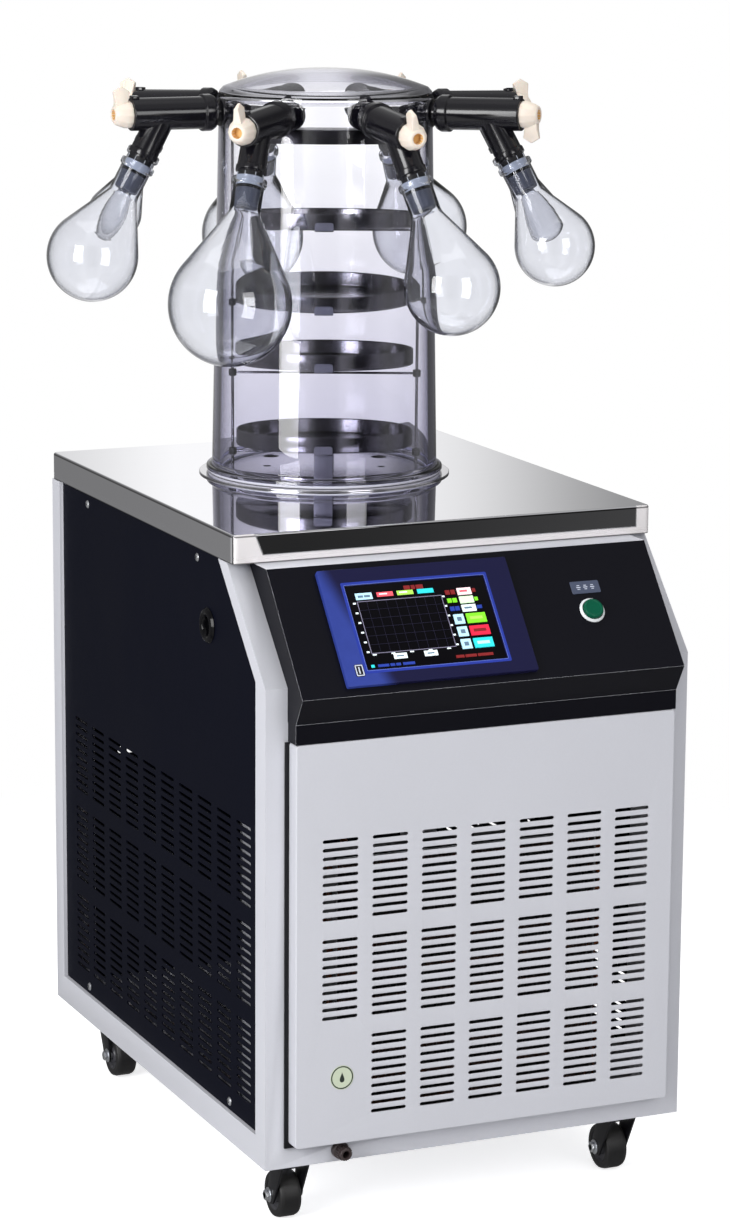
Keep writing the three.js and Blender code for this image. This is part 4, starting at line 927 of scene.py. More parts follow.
def addSteelTop(s):
    centre = (0, s["depth"] / 2)
    low = s["height"] - s["rim"]

    def ringAt(inset, level):
        radius = max(s["corner"] - inset, 1)
        return ringPoints(rectangle(s["width"] - 2 * inset, s["depth"] - 2 * inset, radius, centre, 6), level)

    g = s["groove"]
    hem = low + s["hem"]
    path = [
        (s["sheet"], s["height"] - s["sheet"]), (s["sheet"], low + 0.5), (s["sheet"] - 0.4, low), (0.4, low),
        (0, low + 0.4), (0, hem), (g, hem + 0.3), (g, hem + 0.8), (0, hem + 1.1), (0, hem + 2.6),
        (g, hem + 2.9), (g, hem + 3.3), (0, hem + 3.6),
    ]
    path += foldPoints(s["fold"], s["height"], 5)
    wall = loft([ringAt(*point) for point in path], capFirst=False, capLast=False)
    mouth = circle(s["mouth"], (0, drumY), 96)
    face = moved(sheet([p[:2] for p in ringAt(*path[-1])], [mouth]), shift(z=s["height"]))
    under = moved(sheet([p[:2] for p in ringAt(*path[0])], [mouth]), shift(z=s["height"] - s["sheet"]))
    lip = loft([ringPoints(mouth, s["height"] - s["sheet"]), ringPoints(mouth, s["height"])], False, False)
    shape = cleaned(joined(wall, face, under, lip))
    flatten(addPiece("steelTop", shape, "topSteel", replaces="top_plate", sharp=30))


addSteelTop(steel)
print("cabinet is ready")


console = {"nose": 128, "noseHeight": 582, "topDepth": 32, "topHeight": 698.3, "edge": 0.9}
slopeAngle = math.degrees(math.atan2(console["topHeight"] - console["noseHeight"],
                                     console["nose"] - console["topDepth"]))
onSlope = machine @ shift(0, -console["nose"], console["noseHeight"]) @ turn(slopeAngle, "X")

# The console's rounded edges are painted pale: a painted highlight.
shape = softCopy("console_housing", console["edge"], 2, edgeHighlight=1)
for face in shape.faces:
    if face.normal.z > 0.98:
        face.material_index = 2  # the ledge over the slope is painted like the frame
flatten(addPiece("consoleHousing", shape, ("consolePaint", "consoleEdge", "whitePaint"),
                 replaces="console_housing"))

display = {
    "centre": (-58.8, 75.1), "width": 213, "height": 133, "corner": 2, "base": 0.3, "top": 5.3, "edge": 0.4,
    "screenCentre": (-61.3, 73.5), "screenWidth": 155.3, "screenHeight": 96, "recess": 2.2,
    "lines": ((1.2, 4.2, 0.01), (0.95, 1.5, 0.03)),  # start, end and height of each line round the screen
}


def addBezel(d):
    def ringAt(width, height, corner, centre, inset, level):
        return ringPoints(rectangle(d[width] - 2 * inset, d[height] - 2 * inset, corner, d[centre], 6), level)

    def outer(*point):
        return ringAt("width", "height", d["corner"], "centre", *point)

    def inner(*point):
        return ringAt("screenWidth", "screenHeight", 1.2, "screenCentre", *point)

    path = [(0, d["base"]), (0, d["top"] - d["edge"])] + foldPoints(d["edge"], d["top"], 5, 1)
    wall = loft([outer(*point) for point in path], capFirst=True, capLast=False)
    well = [inner(-0.9, d["top"]), inner(-0.3, d["top"] - 0.3), inner(0, d["top"] - 0.9),
            inner(0, d["top"] - d["recess"])]
    pocket = loft(well, capFirst=False, capLast=True)
    face = sheet([p[:2] for p in outer(*path[-1])], [[p[:2] for p in well[0]]])
    shape = cleaned(joined(wall, pocket, moved(face, shift(z=d["top"]))))
    left = d["centre"][0] - d["width"] / 2
    low = d["centre"][1] - d["height"] / 2
    # Painted reflection on the bezel: darker navy above and on the right.
    addPaintedSlantLight("bezelGloss", (22, 22, 58), onSlope @ Vector((left, low, 0)), (0.06, 0.15))
    flatten(addPiece("displayBezel", shape, "bezelGloss", replaces="display_bezel",
                     place=onSlope))
    # The printed film has a blue band round the screen, with a brighter line at the screen's edge.
    lines = []
    for first, second, level in d["lines"]:
        around, inside = (rectangle(
            d["screenWidth"] + 2 * out, d["screenHeight"] + 2 * out, radius, d["screenCentre"],
        ) for out, radius in ((second, 1.6), (first, 1.0)))
        line = moved(thicken(sheet(around, [inside]), 0.1), shift(z=d["top"] + level))
        lines.append(dyed(line, len(lines)))
    addPiece("bezelTrim", joined(*lines), ("bezelRim", "bezelLine"), place=onSlope)


addBezel(display)


# Colour and strength of each lit patch of the screen.
inks = {
    "grid": ((26, 24, 50), 0.2), "white": ((224, 236, 238), 0.5), "paleBlue": ((176, 218, 234), 0.5),
    "red": ((214, 30, 62), 0.5), "lime": ((120, 214, 36), 0.5), "cyan": ((40, 200, 206), 0.5),
    "blue": ((30, 56, 150), 0.4), "dim": ((120, 24, 26), 0.4), "coral": ((228, 84, 96), 0.5),
    "leaf": ((160, 212, 84), 0.5), "pink": ((246, 214, 220), 0.5), "mint": ((206, 240, 196), 0.5),
    "ink": ((92, 118, 140), 0.3), "frame": ((120, 116, 138), 0.4),
}
glowNames = ["screen" + ink[0].upper() + ink[1:] for ink in inks]
for glowName, (inkColour, inkStrength) in zip(glowNames, inks.values()):
    # Faintly uneven, like a panel of picture elements.
    glowTree, glowShader, glowGrain = newFinish(glowName, inkColour, 0.12, 2600, 0.3, 0.05)
    feed(glowTree, glowShader.inputs["Emission Color"], glowGrain.outputs["Color"])
    feed(glowTree, glowShader.inputs["Emission Strength"], inkStrength)

# Each patch is (ink, left, top, width, height), measured from the screen's upper left corner.
screenPatches = [
    ("dim", 64, 4.4, 7, 4.6), ("dim", 72.2, 4.4, 4.2, 4.6), ("dim", 77.6, 4.4, 8, 4.6),
    ("paleBlue", 8.7, 9, 18.3, 7.4), ("coral", 32.5, 9.6, 18, 5), ("leaf", 55, 9.6, 18, 5),
    ("cyan", 77.8, 9.6, 18, 5), ("ink", 11, 11.6, 6, 2.6), ("ink", 18, 11.6, 6.6, 2.6),
    ("pink", 35, 11, 9, 1.6), ("white", 57.5, 11, 9, 1.4), ("frame", 8.6, 18.4, 0.55, 60),
    ("frame", 8.6, 18.4, 94.4, 0.55), ("frame", 8.6, 77.9, 94.4, 0.55), ("frame", 102.6, 18.4, 0.5, 60),
    ("white", 32, 80.4, 14.6, 6), ("white", 66, 80.4, 14.6, 6), ("ink", 35, 82.6, 8, 1.6),
    ("ink", 69, 82.6, 8, 1.6), ("cyan", 4.6, 91, 3.4, 3), ("blue", 12, 91.2, 12, 2.8),
    ("blue", 25.6, 91.2, 5, 2.8), ("blue", 32, 91.2, 5, 2.8), ("blue", 39.6, 91.2, 13, 2.8),
    ("dim", 99.6, 88.6, 9, 3), ("dim", 110, 88.6, 12.5, 3), ("dim", 124, 88.6, 17, 3),
    ("dim", 108, 13.8, 5, 5), ("dim", 114.2, 13.8, 4.6, 5), ("lime", 108, 23.4, 4.6, 4.8),
    ("lime", 113.8, 23.4, 4.6, 4.8), ("blue", 108.4, 33, 4.6, 4.8), ("blue", 114, 33, 4.8, 4.8),
    ("pink", 121.6, 12.4, 15.6, 7.8), ("mint", 121.6, 22.2, 15.6, 7.8), ("white", 121.6, 32, 15.6, 7.8),
    ("coral", 124, 15, 8.6, 2.2), ("ink", 124, 34.6, 8.6, 2.2), ("dim", 138.6, 14, 3.4, 4),
    ("lime", 138.6, 24, 3.4, 4), ("blue", 138.6, 33.6, 5.4, 3.6), ("paleBlue", 109.4, 42.3, 11, 11),
    ("lime", 123.5, 42.3, 21.5, 11), ("paleBlue", 109.4, 56.7, 11, 11), ("red", 123.5, 56.7, 21.5, 11),
    ("paleBlue", 109.4, 71.1, 11, 11), ("cyan", 123.5, 71.1, 21.5, 11), ("ink", 112.4, 45.6, 5, 4.6),
    ("ink", 112.4, 60, 5, 4.6), ("ink", 112.4, 74.4, 5, 4.6), ("leaf", 127, 46, 14, 3.4),
    ("dim", 127, 60.4, 14, 3.4), ("paleBlue", 127, 74.8, 14, 3.4),
]


def addScreen(d):
    left = d["screenCentre"][0] - d["screenWidth"] / 2
    top = d["screenCentre"][1] + d["screenHeight"] / 2
    floor = d["top"] - d["recess"] + 0.3
    pane = box((left + 0.3, left + d["screenWidth"] - 0.3), (top - d["screenHeight"] + 0.3, top - 0.3),
               (floor, floor + 1.3), 0.25)
    addPiece("displayScreen", pane, "screenGlass", replaces="display_screen",
             place=onSlope)
    patches = [("grid", 8.6 + i * 10.7, 19, 0.3, 58.8) for i in range(1, 9)]
    patches += [("grid", 9.2, 18.4 + i * 9.9, 93.4, 0.3) for i in range(1, 6)]
    for i in range(6):
        patches += [("white", x, 19.2 + i * 11.2, width, 1.8) for x, width in ((4.0, 3.0), (103.6, 2.6))]
    patches += [("white", 9.6 + i * 20.7, 79, 4.2, 1.4) for i in range(5)]
    patches += screenPatches
    shapes = []
    for ink, x, y, width, height in patches:
        level = floor + 1.31 + 0.015 * len(shapes)
        tile = box((left + x, left + x + width), (top - y - height, top - y), (floor + 1.31, level + 0.05))
        shapes.append(dyed(tile, list(inks).index(ink)))
    addPiece("screenPicture", joined(*shapes), glowNames, place=onSlope)


addScreen(display)

port = {"centre": (-148.5, 25.5), "size": (8.5, 12.5), "rim": 1.1}


def addUsbPort(p):
    # Upright, with a pale rim round its dark mouth and a thin dark line outside.
    w, h = p["size"]
    outline = rectangle(w + 1.2, h + 1.2, 1.4, p["centre"])
    rimEdge = rectangle(w, h, 1, p["centre"])
    mouth = rectangle(w - 2 * p["rim"], h - 2 * p["rim"], 0.5, p["centre"])
    x, y = p["centre"]
    parts = [
        dyed(thicken(sheet(outline, [rimEdge]), 0.25), 1), thicken(sheet(rimEdge, [mouth]), 0.6),
        dyed(prism(mouth, 0.1), 1), box((x - 0.9, x + 0.5), (y - h * 0.3, y + h * 0.3), (0, 0.5)),
    ]
    addPiece("usbPort", moved(joined(*parts), shift(z=display["top"] + 0.02)), ("paleInk", "neckRubber"),
             place=onSlope)


addUsbPort(port)

button = {
    "centre": (130, 73), "flange": 14, "bore": 11.4, "sleeve": 12.6, "base": -15, "top": 2.9, "floor": 1.6,
    "cap": 10.85, "proud": 4.6, "travel": 3,
}


def addButton(b):
    at = onSlope @ shift(*b["centre"])
    ring = lathe([
        (0, b["base"]), (b["sleeve"], b["base"]), (b["sleeve"], 0.3), (b["flange"], 0.3, 0.2),
        (b["flange"], 1.4, 0.8), (b["flange"] - 1.6, b["top"], 0.7), (b["bore"], b["top"], 0.3),
        (b["bore"], b["base"] + b["floor"]), (0, b["base"] + b["floor"]),
    ], 64, soft=4)
    addPiece("buttonRing", ring, "buttonRing", replaces="button_bezel", place=at)
    high = b["top"] + b["proud"]
    cap = lathe([
        (0, b["base"] + b["floor"] + b["travel"] + 0.3),
        (b["cap"], b["base"] + b["floor"] + b["travel"] + 0.3), (b["cap"], high - 0.9, 1.6),
        (8.6, high, 1.0), (7.4, high - 0.5, 0.6), (0, high - 0.7),
    ], 64, soft=5)
    addPiece("startButton", cap, "buttonGreen", body="start_button", replaces="start_button",
             place=at)


addButton(button)

plate = {
    "x": (114, 147), "y": (93.5, 108), "thickness": 0.7, "inkTop": 0.82,
    "dashes": ((2.4, -0.5, 0.5), (1.5, -2.6, -1.7), (1.5, 1.7, 2.6)),  # half length, low and high
}


def addLabelPlate(p):
    base = moved(prism(rectangle(p["x"][1] - p["x"][0], p["y"][1] - p["y"][0], 1.4,
                                 (sum(p["x"]) / 2, sum(p["y"]) / 2)), p["thickness"]), shift(z=0.05))
    shapes = [soften(base, 0.2, 1, 60)]
    middle = sum(p["y"]) / 2
    for i in range(3):
        x = p["x"][0] + 8.5 + i * 8
        for half, low, high in p["dashes"]:
            dash = box((x - half, x + half), (middle + low, middle + high), (p["thickness"], p["inkTop"]))
            shapes.append(dyed(dash, 1))
    addPiece("buttonPlate", joined(*shapes), ("slatePlate", "paleInk"), place=onSlope)


addLabelPlate(plate)
print("console is ready")


onDrum = machine @ shift(0, drumY, steel["height"])  # heights from here on are above the steel top
rackTurn = -23.7
onRack = onDrum @ turn(rackTurn, "Z")

trap = {
    "radius": 99, "wall": 2, "depth": 250, "base": 0.3, "flange": 139.6, "thickness": 1.5, "jacket": 22,
    "strap": 12, "straps": (-209.7, -139.7, -70),
}


def addTrap(t):
    out = t["radius"] + t["wall"]
    base = t["base"]
    floor = base - t["depth"]
    high = base + t["thickness"]
    can = lathe([
        (0, floor), (out, floor, 12), (out, base), (t["flange"] - 0.2, base), (t["flange"], base * 2),
        (t["flange"], high - 0.4), (t["flange"] - 0.5, high), (t["radius"], high, 1.2),
        (t["radius"], floor + t["wall"], 11), (0, floor + t["wall"]),
    ], 128, soft=6)
    addPiece("trapCan", can, "trapSteel", replaces="cold_trap", place=onDrum)
    outer = out + t["jacket"]
    jacket = lathe([
        (out + 0.6, floor + 14), (outer, floor + 14, 4), (outer, -36, 4), (out + 0.6, -36),
    ], 64, closed=True, soft=4)
    straps = [dyed(lathe([
        (outer - 0.4, z), (outer + 0.7, z), (outer + 0.7, z + t["strap"]), (outer - 0.4, z + t["strap"]),
    ], 64, closed=True), 1) for z in t["straps"]]
    addPiece("trapJacket", joined(jacket, *straps), ("foamJacket", "finAluminium"),
             place=onDrum)


addTrap(trap)

trapPlate = {
    "radius": 107, "thickness": 2, "base": 2.1, "hole": 9, "circle": 88, "small": 4, "smallCircle": 64,
}


def addTrapPlate(p):
    holes = []
    for i in range(4):
        a = math.radians(rackTurn + 45 + 90 * i)
        b = a + math.radians(45)
        for angle, hole, ring, steps in ((a, p["hole"], p["circle"], 32),
                                         (b, p["small"], p["smallCircle"], 24)):
            holes.append(circle(hole, (ring * math.cos(angle), ring * math.sin(angle)), steps))
    disc = soften(prism(circle(p["radius"], steps=128), p["thickness"], holes), 0.35, 1, 60)
    addPiece("trapPlate", moved(disc, shift(z=p["base"])), "plateSteel", replaces="trap_plate",
             place=onDrum)


addTrapPlate(trapPlate)

seal = {"inner": 116, "outer": 129.5, "low": 2.1, "high": 5.1, "round": 0.8}
sealRing = lathe([(seal[side], seal[level], seal["round"]) for side, level in (
    ("inner", "low"), ("outer", "low"), ("outer", "high"), ("inner", "high"),
)], 128, closed=True, soft=3)
addPiece("baseSeal", sealRing, "sealRubber", replaces="base_seal", place=onDrum)

drum = {
    "base": 5.4, "flange": 131.5, "low": 125.2, "high": 117, "rim": 427, "rise": 20, "wall": 8, "ceiling": 8,
    "portHeight": 402,
}


def addDrum(d):
    base = d["base"]
    outside = [
        (d["flange"], base, 0.8), (d["flange"], base + 4.4, 2.1), (d["flange"] - 3.4, base + 4.9, 1.6),
        (d["low"], base + 9, 3), (d["high"], d["rim"] - 5, 4.5),
    ]
    low = d["rim"] - d["ceiling"]
    inside = [(d["high"] - d["wall"], low, 10), (d["low"] - d["wall"], base, 1.0)]
    crown, ceiling = [], []
    steps = 22
    for i in range(steps + 1):
        k = i / steps
        crown.append(((d["high"] - 4.5) * (1 - k), d["rim"] + d["rise"] * (1 - (1 - k) ** 2.2)))
        height = low + 1 + (d["rise"] - 1) * (1 - k ** 2.2)
        ceiling.append(((d["high"] - d["wall"] - 6) * k, height))
    profile = outside + crown + ceiling + inside
    corners = roundCorners(profile, closed=False, steps=5)
    shape = lathe(corners + [corners[0]], 160)
    addPiece("dryingDrum", shape, "drumAcrylic", replaces="acrylic_drum", place=onDrum,
             sharp=50)


addDrum(drum)

rack = {
    "rod": 1.7, "circle": 103, "top": 380, "rim": 15.5, "radius": 102, "sheet": 1.5, "stand": 4.4,
    "strip": 20, "lip": 8, "reach": 4, "lidTilt": 3, "lidLift": 2.5, "clamp": 4.6,
}
tray = {"radius": 98.5, "height": 17.6, "sheet": 1.2}
# Height and tilt of each shelf, and how far its cross rod hangs under it.
shelves = ((30.3, 3.1, 9), (121.5, 2.9, 11), (192.6, -1.8, 3), (274.1, 3.4, 3))


def onShelf(bottom, tilt):
    return shift(z=bottom) @ turn(-tilt, "X")


def addRack(r):
    top = r["top"]
    lid = lathe([
        (0, top - r["sheet"]), (r["radius"] - r["sheet"], top - r["sheet"], 1.2),
        (r["radius"] - r["sheet"], top - r["rim"]), (r["radius"], top - r["rim"]), (r["radius"], top, 2.4),
        (0, top),
    ], 128, soft=5)
    shapes = [moved(dyed(lid, 1), shift(z=top + r["lidLift"]) @ turn(-r["lidTilt"], "X") @ shift(z=-top))]
    for x in (-r["circle"], r["circle"]):
        shapes.append(moved(rod(r["rod"], r["stand"], top - 1, 24, 0.6), shift(x)))
        shapes.append(moved(rod(5, top, top + 3.4, 6, 0.5), shift(x * 0.94)))
    half = r["strip"] / 2
    reach = tray["radius"] + 0.5
    for bottom, tilt, rodDrop in shelves:
        low = -0.3 - r["sheet"]
        parts = [box((-half, half), (-reach - r["sheet"], reach + r["sheet"]), (low, -0.3), 0.3)]
        # The ends of the strip turn up over the tray's wall as tabs with round corners.
        for side in (-1, 1):
            tab = soften(prism(roundCorners([
                (-half, low), (half, low), (half, r["lip"], 3), (-half, r["lip"], 3),
            ], steps=4), r["sheet"]), 0.25, 1, 60)
            parts.append(moved(dyed(tab, 2),
                               shift(0, side * reach + (r["sheet"] if side > 0 else 0), 0) @ facingFront))
        shapes.append(moved(joined(*parts), onShelf(bottom, tilt)))
        # A cross rod hangs under each shelf, held to the uprights by black clamps.
        span = r["circle"] + r["reach"]
        cross = rod(r["rod"] * 0.8, -span, span, 20, 0.5)
        clamps = copies(rod(r["clamp"], -4, 4, 20, 1.2), [shift(side * r["circle"]) for side in (-1, 1)])
        hanger = box((-half, half), (-r["sheet"] / 2, r["sheet"] / 2), (-0.5, rodDrop - 1), 0.3)
        hung = joined(moved(cross, alongX), dyed(clamps, 3), hanger)
        shapes.append(moved(hung, shift(z=bottom - rodDrop)))
    lowBottom, lowTilt = shelves[0][:2]
    drop = (tray["radius"] - 4) * math.tan(math.radians(lowTilt))
    for side in (-1, 1):
        y = side * (tray["radius"] - 4)
        shapes.append(dyed(box((-half, half), (y - r["sheet"] / 2, y + r["sheet"] / 2),
                               (r["stand"], lowBottom - 1 - side * drop), 0.3), 2))
    addPiece("shelfRack", joined(*shapes), ("rackSteel", "lidSteel", "tabSteel", "neckRubber"),
             replaces="shelf_rack", place=onRack)


addRack(rack)


def addTrays(t):
    r, h, s = t["radius"], t["height"], t["sheet"]
    for number, (bottom, tilt, _) in enumerate(shelves, 1):
        pan = lathe([
            (0, 0), (r, 0, 2.2), (r, h - 0.5, 0.3), (r - 0.5, h, 0.3), (r - s, h, 0.3), (r - s, s, 1.6),
            (0, s),
        ], 128, soft=4)
        bead = lathe(circle(0.75, (r - 0.75, h - 0.7), 10), 128, closed=True)
        addPiece("tray" + str(number), moved(joined(pan, bead), onShelf(bottom, tilt)), "traySteel",
                 replaces="tray_" + str(number), place=onRack)


addTrays(tray)
print("drum, rack and trays are ready")


shadeSheet = {"x": 228.5, "sheet": 1.2, "front": 12, "back": 236, "low": 214, "high": 560, "fold": 10}


def addShadeSheet(p):
    # A folded black sheet inside the right panel, put there as painted shade: it darkens what shows through
    # the grille's slots.
    tall = (p["low"], p["high"])
    face = box((p["x"], p["x"] + p["sheet"]), (p["front"], p["back"]), tall, 0.3)
    folds = [box((p["x"] - p["fold"], p["x"] + p["sheet"]), (y, y + p["sheet"]), tall, 0.3)
             for y in (p["front"], p["back"] - p["sheet"])]
    addPiece("grilleShadeSheet", joined(face, *folds), "blackPaint")


addShadeSheet(shadeSheet)

postFlange = {"inside": 227, "sheet": 1.5, "front": -54, "back": 8, "low": 112, "high": 566}


def addPostFlanges(p):
    # The front posts' inner flanges, which show through the first slots of the side panels.
    strips = [box(sorted((side * p["inside"], side * (p["inside"] + p["sheet"]))), (p["front"], p["back"]),
                  (p["low"], p["high"]), 0.3) for side in (-1, 1)]
    addPiece("postFlanges", joined(*strips), "whitePaint")


addPostFlanges(postFlange)

panelShadow = {"proud": 4.5, "inset": 2, "front": -92.6, "back": -90.2}


def addPanelShadow(g):
    # A black strip under the front panel's folded edge, on three sides: a painted shadow, set in the gap
    # where the panel shades the frame.
    p = frontPanel
    wide, low = p["halfWidth"] + g["proud"], p["low"] - g["proud"]
    narrow, high = p["halfWidth"] - g["inset"], p["low"] + g["inset"]
    bars = [box((-wide, wide), (g["front"], g["back"]), (low, high), 0.3)]
    for x in ((-wide, -narrow), (narrow, wide)):
        bars.append(box(x, (g["front"], g["back"]), (high, p["high"]), 0.3))
    addPiece("panelShadowStrip", joined(*bars), "neckRubber")


addPanelShadow(panelShadow)


valve = {
    "portRadius": 117.365, "nutEnd": -20.3, "nut": 17, "nutFace": -12.3, "neck": 10, "flange": 15.5,
    "flangeStart": 4.3, "flangeEnd": 8.3, "collarStart": 14.635, "collar": 20, "collarLength": 15,
    "barrel": 17.6, "end": 110.635, "bore": 6.5, "boreDepth": 24, "core": 14.2, "branchAt": 72.635,
    "tilt": 28, "branch": 15.5, "branchLength": 54, "branchCollar": 16.6, "branchCollarLength": 9,
}
flask = {"start": 59, "neck": 16.5, "bead": 19, "beadHeight": 7, "neckLength": 38, "wall": 2.0, "ground": 31}
stopper = {"length": 32, "top": 9.5, "ring": 3.4, "bore": 5, "boreDepth": 14}
knob = {
    "radius": 14.6, "shoulder": 6.5, "waist": 14, "waistRadius": 12, "length": 19, "tip": 8.8, "bore": 5.8,
    "boreDepth": 9, "wingReach": 30.5, "wingWidth": 18.5, "wingRoot": 13, "wingTip": 3, "wingRoof": 5.5,
    "plug": 5.7, "plugLength": 23.4,
}
# Each valve's heading round the drum, how far it hangs and twists in its port, and its flask's size.
stations = (
    {"name": "front", "azimuth": 0, "sag": 5.8, "twist": 13, "bulb": 51, "reach": 119},
    {"name": "front_right", "azimuth": 45, "sag": -1, "twist": 0, "bulb": 43.5, "reach": 100},
    {"name": "right", "azimuth": 90, "sag": 1, "twist": -10, "bulb": 27, "reach": 83},
    {"name": "rear_right", "azimuth": 135, "sag": 2, "twist": -6, "bulb": 52, "reach": 110},
    {"name": "rear", "azimuth": 180, "sag": 1, "twist": -8, "bulb": 58, "reach": 127},
    {"name": "rear_left", "azimuth": 225, "sag": 1.5, "twist": 5, "bulb": 30.5, "reach": 78},
    {"name": "left", "azimuth": 270, "sag": 0, "twist": -2, "bulb": 49.5, "reach": 112},
    {"name": "front_left", "azimuth": 315, "sag": 3.5, "twist": 1, "bulb": 65, "reach": 138},
)


def stationPlace(station):
    # +X runs out of the drum along the valve, from the drum's outer wall.
    outward = turn(station["azimuth"] - 90, "Z") @ shift(valve["portRadius"])
    atPort = onDrum @ shift(z=drum["portHeight"]) @ outward
    return atPort @ turn(station["sag"], "Y") @ turn(station["twist"], "X")


downBranch = shift(valve["branchAt"]) @ turn(180 - valve["tilt"], "Y")


def valveShape(v):
    collarEnd = v["collarStart"] + v["collarLength"]
    barrel = lathe([
        (0, v["nutEnd"]), (v["nut"] - 1.5, v["nutEnd"]), (v["nut"], v["nutEnd"] + 1.5),
        (v["nut"], v["nutFace"], 0.6), (v["neck"], v["nutFace"]), (v["neck"], v["flangeStart"]),
        (v["flange"], v["flangeStart"], 1), (v["flange"], v["flangeEnd"], 1.2), (v["neck"], v["flangeEnd"]),
        (v["neck"], v["collarStart"]), (v["collar"] - 2.5, v["collarStart"], 1.5),
        (v["collar"], v["collarStart"] + 4.5, 3), (v["collar"], collarEnd - 1, 1.4),
        (v["barrel"], collarEnd, 0.8), (v["barrel"], v["end"], 1.3), (v["bore"], v["end"], 0.4),
        (v["bore"], v["end"] - v["boreDepth"]), (0, v["end"] - v["boreDepth"]),
    ], 64, soft=4)
    lip = box((v["end"] - 9, v["end"] - 0.5), (-5, 5), (v["barrel"] - 4, v["barrel"] + 2.4), 0.8)
    low = v["branchLength"] - v["branchCollarLength"]
    branch = lathe([
        (0, 4), (v["branch"] - 0.5, 4), (v["branch"], low, 0.5), (v["branchCollar"], low + 0.6, 0.7),
        (v["branchCollar"], v["branchLength"] - 2.5, 0.9), (v["core"], v["branchLength"] - 2.2),
        (v["core"], v["branchLength"]), (0, v["branchLength"]),
    ], 64, soft=4)
    return joined(moved(barrel, alongX), lip, moved(branch, downBranch))


def neckShape(v):
    # The gland between the branch and the flask's bead, with a few pale ribs.
    low = v["branchLength"]
    high = flask["start"] - 0.4
    core = lathe([(0, low - 1), (v["core"], low - 1), (v["core"], high, 0.4), (0, high)], 48, soft=3)
    rib = box((13.9, 14.9), (-0.25, 0.25), (low + 0.05, flask["start"] - 0.5), 0.1, 1)
    ribs = copies(rib, [turn(45 * i, "Z") for i in range(8)])
    return joined(core, dyed(ribs, 1))


def stopperShape(s):
    # A slate stopper in the flask's mouth, with a dark ring round it and a pale top.
    r = flask["neck"] - flask["wall"] - 0.3
    low = flask["start"] - 0.2
    high = low + s["top"]
    start = low + s["top"] + s["ring"]
    end = low + s["length"]
    top = lathe([(0, low), (r - 0.15, low), (r - 0.15, high), (0, high)], 48)
    ring = lathe([(r - 1, high), (r, high), (r, start), (r - 1, start)], 48, closed=True)
    body = lathe([
        (0, start - 0.4), (r - 0.3, start - 0.4), (r - 1.2, end, 1.4), (s["bore"], end, 0.6),
        (s["bore"], end - s["boreDepth"]), (0, end - s["boreDepth"]),
    ], 48, soft=3)
    return joined(dyed(top, 3), dyed(ring, 4), dyed(body, 2))


def pearProfile(neck, neckLength, bulb, reach, steps, blend):
    # The flank leaves the neck through a small bend and runs on into the bulb.
    rise = reach - neckLength
    distance = math.hypot(neck, rise)
    start = math.atan2(neck, rise) + math.acos(bulb / distance)
    points = [(neck, neckLength, blend)]
    for i in range(steps):
        angle = start + (math.pi - start) * i / steps
        points.append((bulb * math.sin(angle), reach - bulb * math.cos(angle)))
    points.append((0, reach + bulb))
    return points


def flaskShape(station):
    f = flask
    bore = f["neck"] - f["wall"]
    outside = pearProfile(f["neck"], f["neckLength"], station["bulb"], station["reach"], 26, 16)
    inside = pearProfile(bore, f["neckLength"] + 0.8, station["bulb"] - f["wall"], station["reach"], 26, 16)
    profile = [
        (bore, 0, 0.8), (f["bead"], 0, 2.0), (f["bead"], f["beadHeight"], 2.6),
        (f["neck"], f["beadHeight"] + 1.4, 1.2),
    ] + outside + list(reversed(inside))
    corners = roundCorners(profile, closed=False, steps=5)
    return lathe(corners + [corners[0]], 96)


def knobShape(k):
    start = valve["end"] + 0.3
    tip = start + k["length"]
    hub = lathe([
        (0, start), (k["radius"], start), (k["radius"], start + k["shoulder"]),
        (k["waistRadius"], start + k["waist"]), (k["tip"] + 1.4, tip - 1.6), (k["tip"], tip - 0.4),
        (k["tip"] - 0.8, tip), (k["bore"] + 0.4, tip), (k["bore"], tip - 0.5),
        (k["bore"], tip - k["boreDepth"]), (0, tip - k["boreDepth"]),
    ], 12)
    hub = moved(soften(hub, 0.7, 2, 22), alongX)
    for face in hub.faces:
        middle = face.calc_center_median()
        inBore = math.hypot(middle.y, middle.z) < k["bore"] - 0.1 and middle.x > tip - k["boreDepth"] - 1
        face.material_index = 1 if inBore else 0
    stem = moved(rod(k["plug"], start - k["plugLength"], start + 1, 24), alongX)
    near, far = start + 1, start + 1 + k["wingWidth"]
    low = k["wingReach"] - k["wingRoof"]
    outline = [
        (near + 2, k["bore"] + 2), (far - 2, k["bore"] + 2), (far - 2, k["radius"]), (far, low),
        ((near + far) / 2, k["wingReach"]), (near, low), (near + 2, k["radius"]),
    ]
    wing = moved(prism(outline, k["wingRoot"]), shift(0, k["wingRoot"] / 2, 0) @ facingFront)
    for vert in wing.verts:
        share = max(0, vert.co.z) / k["wingReach"]
        vert.co.y *= 1 + (k["wingTip"] / k["wingRoot"] - 1) * share
    wing = soften(wing, 1.1, 3, 20)
    return joined(hub, stem, wing)


